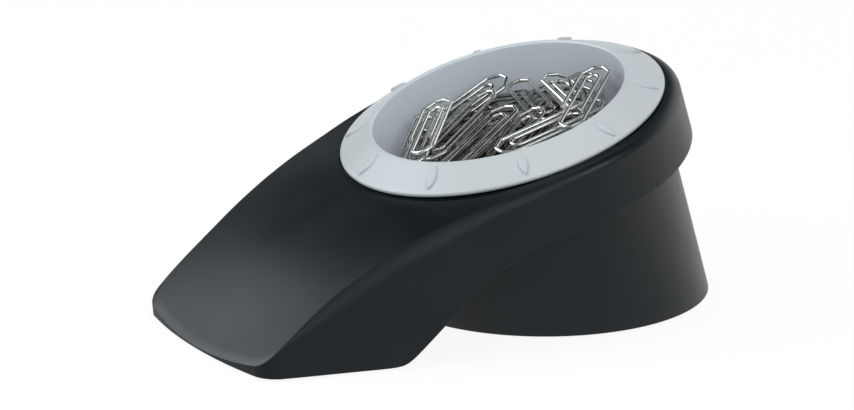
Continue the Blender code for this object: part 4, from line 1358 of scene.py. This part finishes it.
class CLIPHOLDER_OT_stage(bpy.types.Operator):
    """Sets up the floor, the lamps, the world and the camera"""

    bl_idname = "clip_holder.stage"
    bl_label = "Stage"

    # The camera and the point it looks at, from the centre of the rim, worked out from the rim and the base
    camera_place = (-0.75613, -1.33264, 0.44639)
    camera_target = (-0.02088, 0.0, -0.02012)
    camera_focal = 274.0
    camera_sensor = 36.0

    # Name, place, size and power of each lamp; all face the object
    lamps = (
        ("left_light", (-1.10, 0.35, 0.95), 1.1, 9.0),
        ("sky_light", (0.30, -0.10, 1.60), 1.6, 11.0),
        ("front_light", (-0.30, -1.30, 0.90), 1.0, 9.0),
    )
    lamp_target = (0.0, 0.0, 0.03)

    room_tint = (0.90, 0.97, 1.0)
    # What reflections show: direction, angle at which a patch is full, angle at which it ends, brightness
    fill_level = 0.30
    room_level = 0.19
    patches = (
        ((0.25, 0.80, 0.55), 36, 62, 0.0),
        ((-0.72, 0.60, 0.38), 16, 36, 4.5),
        ((0.90, 0.35, 0.10), 20, 45, 1.3),
        ((0.05, -0.10, 1.00), 10, 28, 1.6),
        ((0.22, -0.45, 0.86), 18, 32, 0.0),
        ((0.27, -0.88, 0.40), 5, 18, 4.8),
        ((-0.45, -0.85, 0.45), 12, 28, 1.2),
        ((0.35, 0.93, 0.00), 8, 24, 1.0),
        ((-0.87, 0.45, -0.05), 14, 26, 0.0),
    )

    # The floor as reflections show it: a dark patch left behind the object, and paler to the back
    dark_patch = ((-0.75, 0.35, 0.0), 0.66, 0.80)
    floor_fade = (-0.09, 0.12)
    floor_mirrored = ((0.58, 0.63, 0.67), WHITE)
    # Strength of the white that the camera sees on the floor, and its share against the shaded floor
    glow_strength = 1.06
    glow_share = 0.86

    def floor(self):
        """A pale floor, whose reflections are set apart from its look."""
        shape = bmesh.new()
        bmesh.ops.create_grid(shape, x_segments=1, y_segments=1, size=6.0)
        floor = add_object("floor", smooth_mesh("floor", shape))
        shader = Shader("floor_sweep")
        cloud = shader.noise(0.6, 2.0)
        colour = tuple(settings("finishes").floor)
        diffuse = shader.node("ShaderNodeBsdfDiffuse", None, {
            "Color": shader.blend(cloud, shade(colour, 0.995), shade(colour, 1.005))})
        glow = shader.node("ShaderNodeEmission", None, {
            "Color": (*WHITE, 1.0), "Strength": self.glow_strength})
        split = shader.vector("DOT_PRODUCT", shader.place(), (0.8, 0.6, 0.0), output="Value")
        middle, inner, outer = self.dark_patch
        away = shader.vector("DISTANCE", shader.place(), middle, output="Value")
        pale = shader.blend(shader.spread(split, *self.floor_fade), *self.floor_mirrored)
        clear = shader.spread(away, inner, outer)
        patched = shader.node("ShaderNodeVectorMath", {"operation": "SCALE"}, {0: pale, "Scale": clear})
        mirrored = shader.node("ShaderNodeEmission", None, {"Color": patched, "Strength": 1.0})
        reflected = shader.node("ShaderNodeMixShader", None, {
            0: shader.ray("Glossy"), 1: diffuse, 2: mirrored})
        white_share = shader.seen() * self.glow_share
        mixed = shader.node("ShaderNodeMixShader", None, {0: white_share, 1: reflected, 2: glow})
        shader.tree.links.new(mixed.socket, shader.output.inputs["Surface"])
        floor.data.materials.append(shader.material)

    def world(self, scene):
        """White to the camera and to clear pieces. Reflections show bright and dark patches in a dim room."""
        world = bpy.data.worlds.new("studio")
        world.use_nodes = True
        world.node_tree.nodes.clear()
        shader = Shader(None, world.node_tree)
        way = shader.node("ShaderNodeTexCoord", output="Generated")
        room = self.room_level
        for direction, inner, outer, level in self.patches:
            aimed = shader.vector("DOT_PRODUCT", way, Vector(direction).normalized(), output="Value")
            inside = shader.spread(aimed, math.cos(math.radians(outer)), math.cos(math.radians(inner)))
            room = shader.mixed(inside, room, level)
        glossy = shader.ray("Glossy")
        level = shader.mixed(shader.seen(), shader.mixed(glossy, self.fill_level, room), 1.0)
        tint = shader.blend(glossy, WHITE, self.room_tint)
        background = shader.node("ShaderNodeBackground", None, {"Color": tint, "Strength": level})
        output = shader.tree.nodes.new("ShaderNodeOutputWorld")
        shader.tree.links.new(background.socket, output.inputs["Surface"])
        scene.world = world

    def aim(self, obj, place, target):
        """Puts a lamp or camera in its place and turns it to face the target."""
        obj.location = place
        obj.rotation_mode = "QUATERNION"
        obj.rotation_quaternion = (Vector(target) - Vector(place)).to_track_quat("-Z", "Y")

    def execute(self, context):
        scene = context.scene
        scene.view_settings.view_transform = "Standard"
        self.floor()
        self.world(scene)
        for name, place, size, power in self.lamps:
            data = bpy.data.lights.new(name, "AREA")
            data.shape = "DISK"
            data.size = size
            data.energy = power
            lamp = bpy.data.objects.new(name, data)
            scene.collection.objects.link(lamp)
            lamp.visible_glossy = False
            self.aim(lamp, place, self.lamp_target)
        data = bpy.data.cameras.new("camera")
        data.lens = self.camera_focal
        data.sensor_width = self.camera_sensor
        camera = bpy.data.objects.new("camera", data)
        scene.collection.objects.link(camera)
        self.aim(camera, RIM_CENTRE + Vector(self.camera_place), RIM_CENTRE + Vector(self.camera_target))
        scene.camera = camera
        return {"FINISHED"}


class CLIPHOLDER_PT_panel(bpy.types.Panel):
    """Lists the pieces of the holder in the sidebar"""

    bl_label = "Paper clip holder"
    bl_idname = "CLIPHOLDER_PT_panel"
    bl_space_type = "VIEW_3D"
    bl_region_type = "UI"
    bl_category = "Clip holder"

    def draw(self, context):
        for operator in OPERATORS:
            self.layout.operator(operator.bl_idname)
        for name in GROUPS:
            self.layout.label(text=name.capitalize())
            group = settings(name)
            for field in group.bl_rna.properties.keys():
                if field not in ("rna_type", "name"):
                    self.layout.prop(group, field)


OPERATORS = (
    CLIPHOLDER_OT_stage,
    CLIPHOLDER_OT_hood,
    CLIPHOLDER_OT_base,
    CLIPHOLDER_OT_underside,
    CLIPHOLDER_OT_dish,
    CLIPHOLDER_OT_grips,
    CLIPHOLDER_OT_magnet,
    CLIPHOLDER_OT_clips,
)
GROUPS = {"hood": HoodSizes, "dish": DishSizes, "clips": ClipSizes, "finishes": Finishes}


def register():
    for made in (*GROUPS.values(), *OPERATORS, CLIPHOLDER_PT_panel):
        bpy.utils.register_class(made)
    for name, group in GROUPS.items():
        setattr(bpy.types.Scene, f"clip_holder_{name}", bpy.props.PointerProperty(type=group))


def unregister():
    for name in GROUPS:
        delattr(bpy.types.Scene, f"clip_holder_{name}")
    for made in (*GROUPS.values(), *OPERATORS, CLIPHOLDER_PT_panel):
        bpy.utils.unregister_class(made)


def main():
    """Builds the stage and every piece."""
    register()
    bpy.ops.clip_holder.stage()
    bpy.ops.clip_holder.hood()
    bpy.ops.clip_holder.base()
    bpy.ops.clip_holder.underside()
    bpy.ops.clip_holder.dish()
    bpy.ops.clip_holder.grips()
    bpy.ops.clip_holder.magnet()
    bpy.ops.clip_holder.clips()


if __name__ == "__main__":
    main()
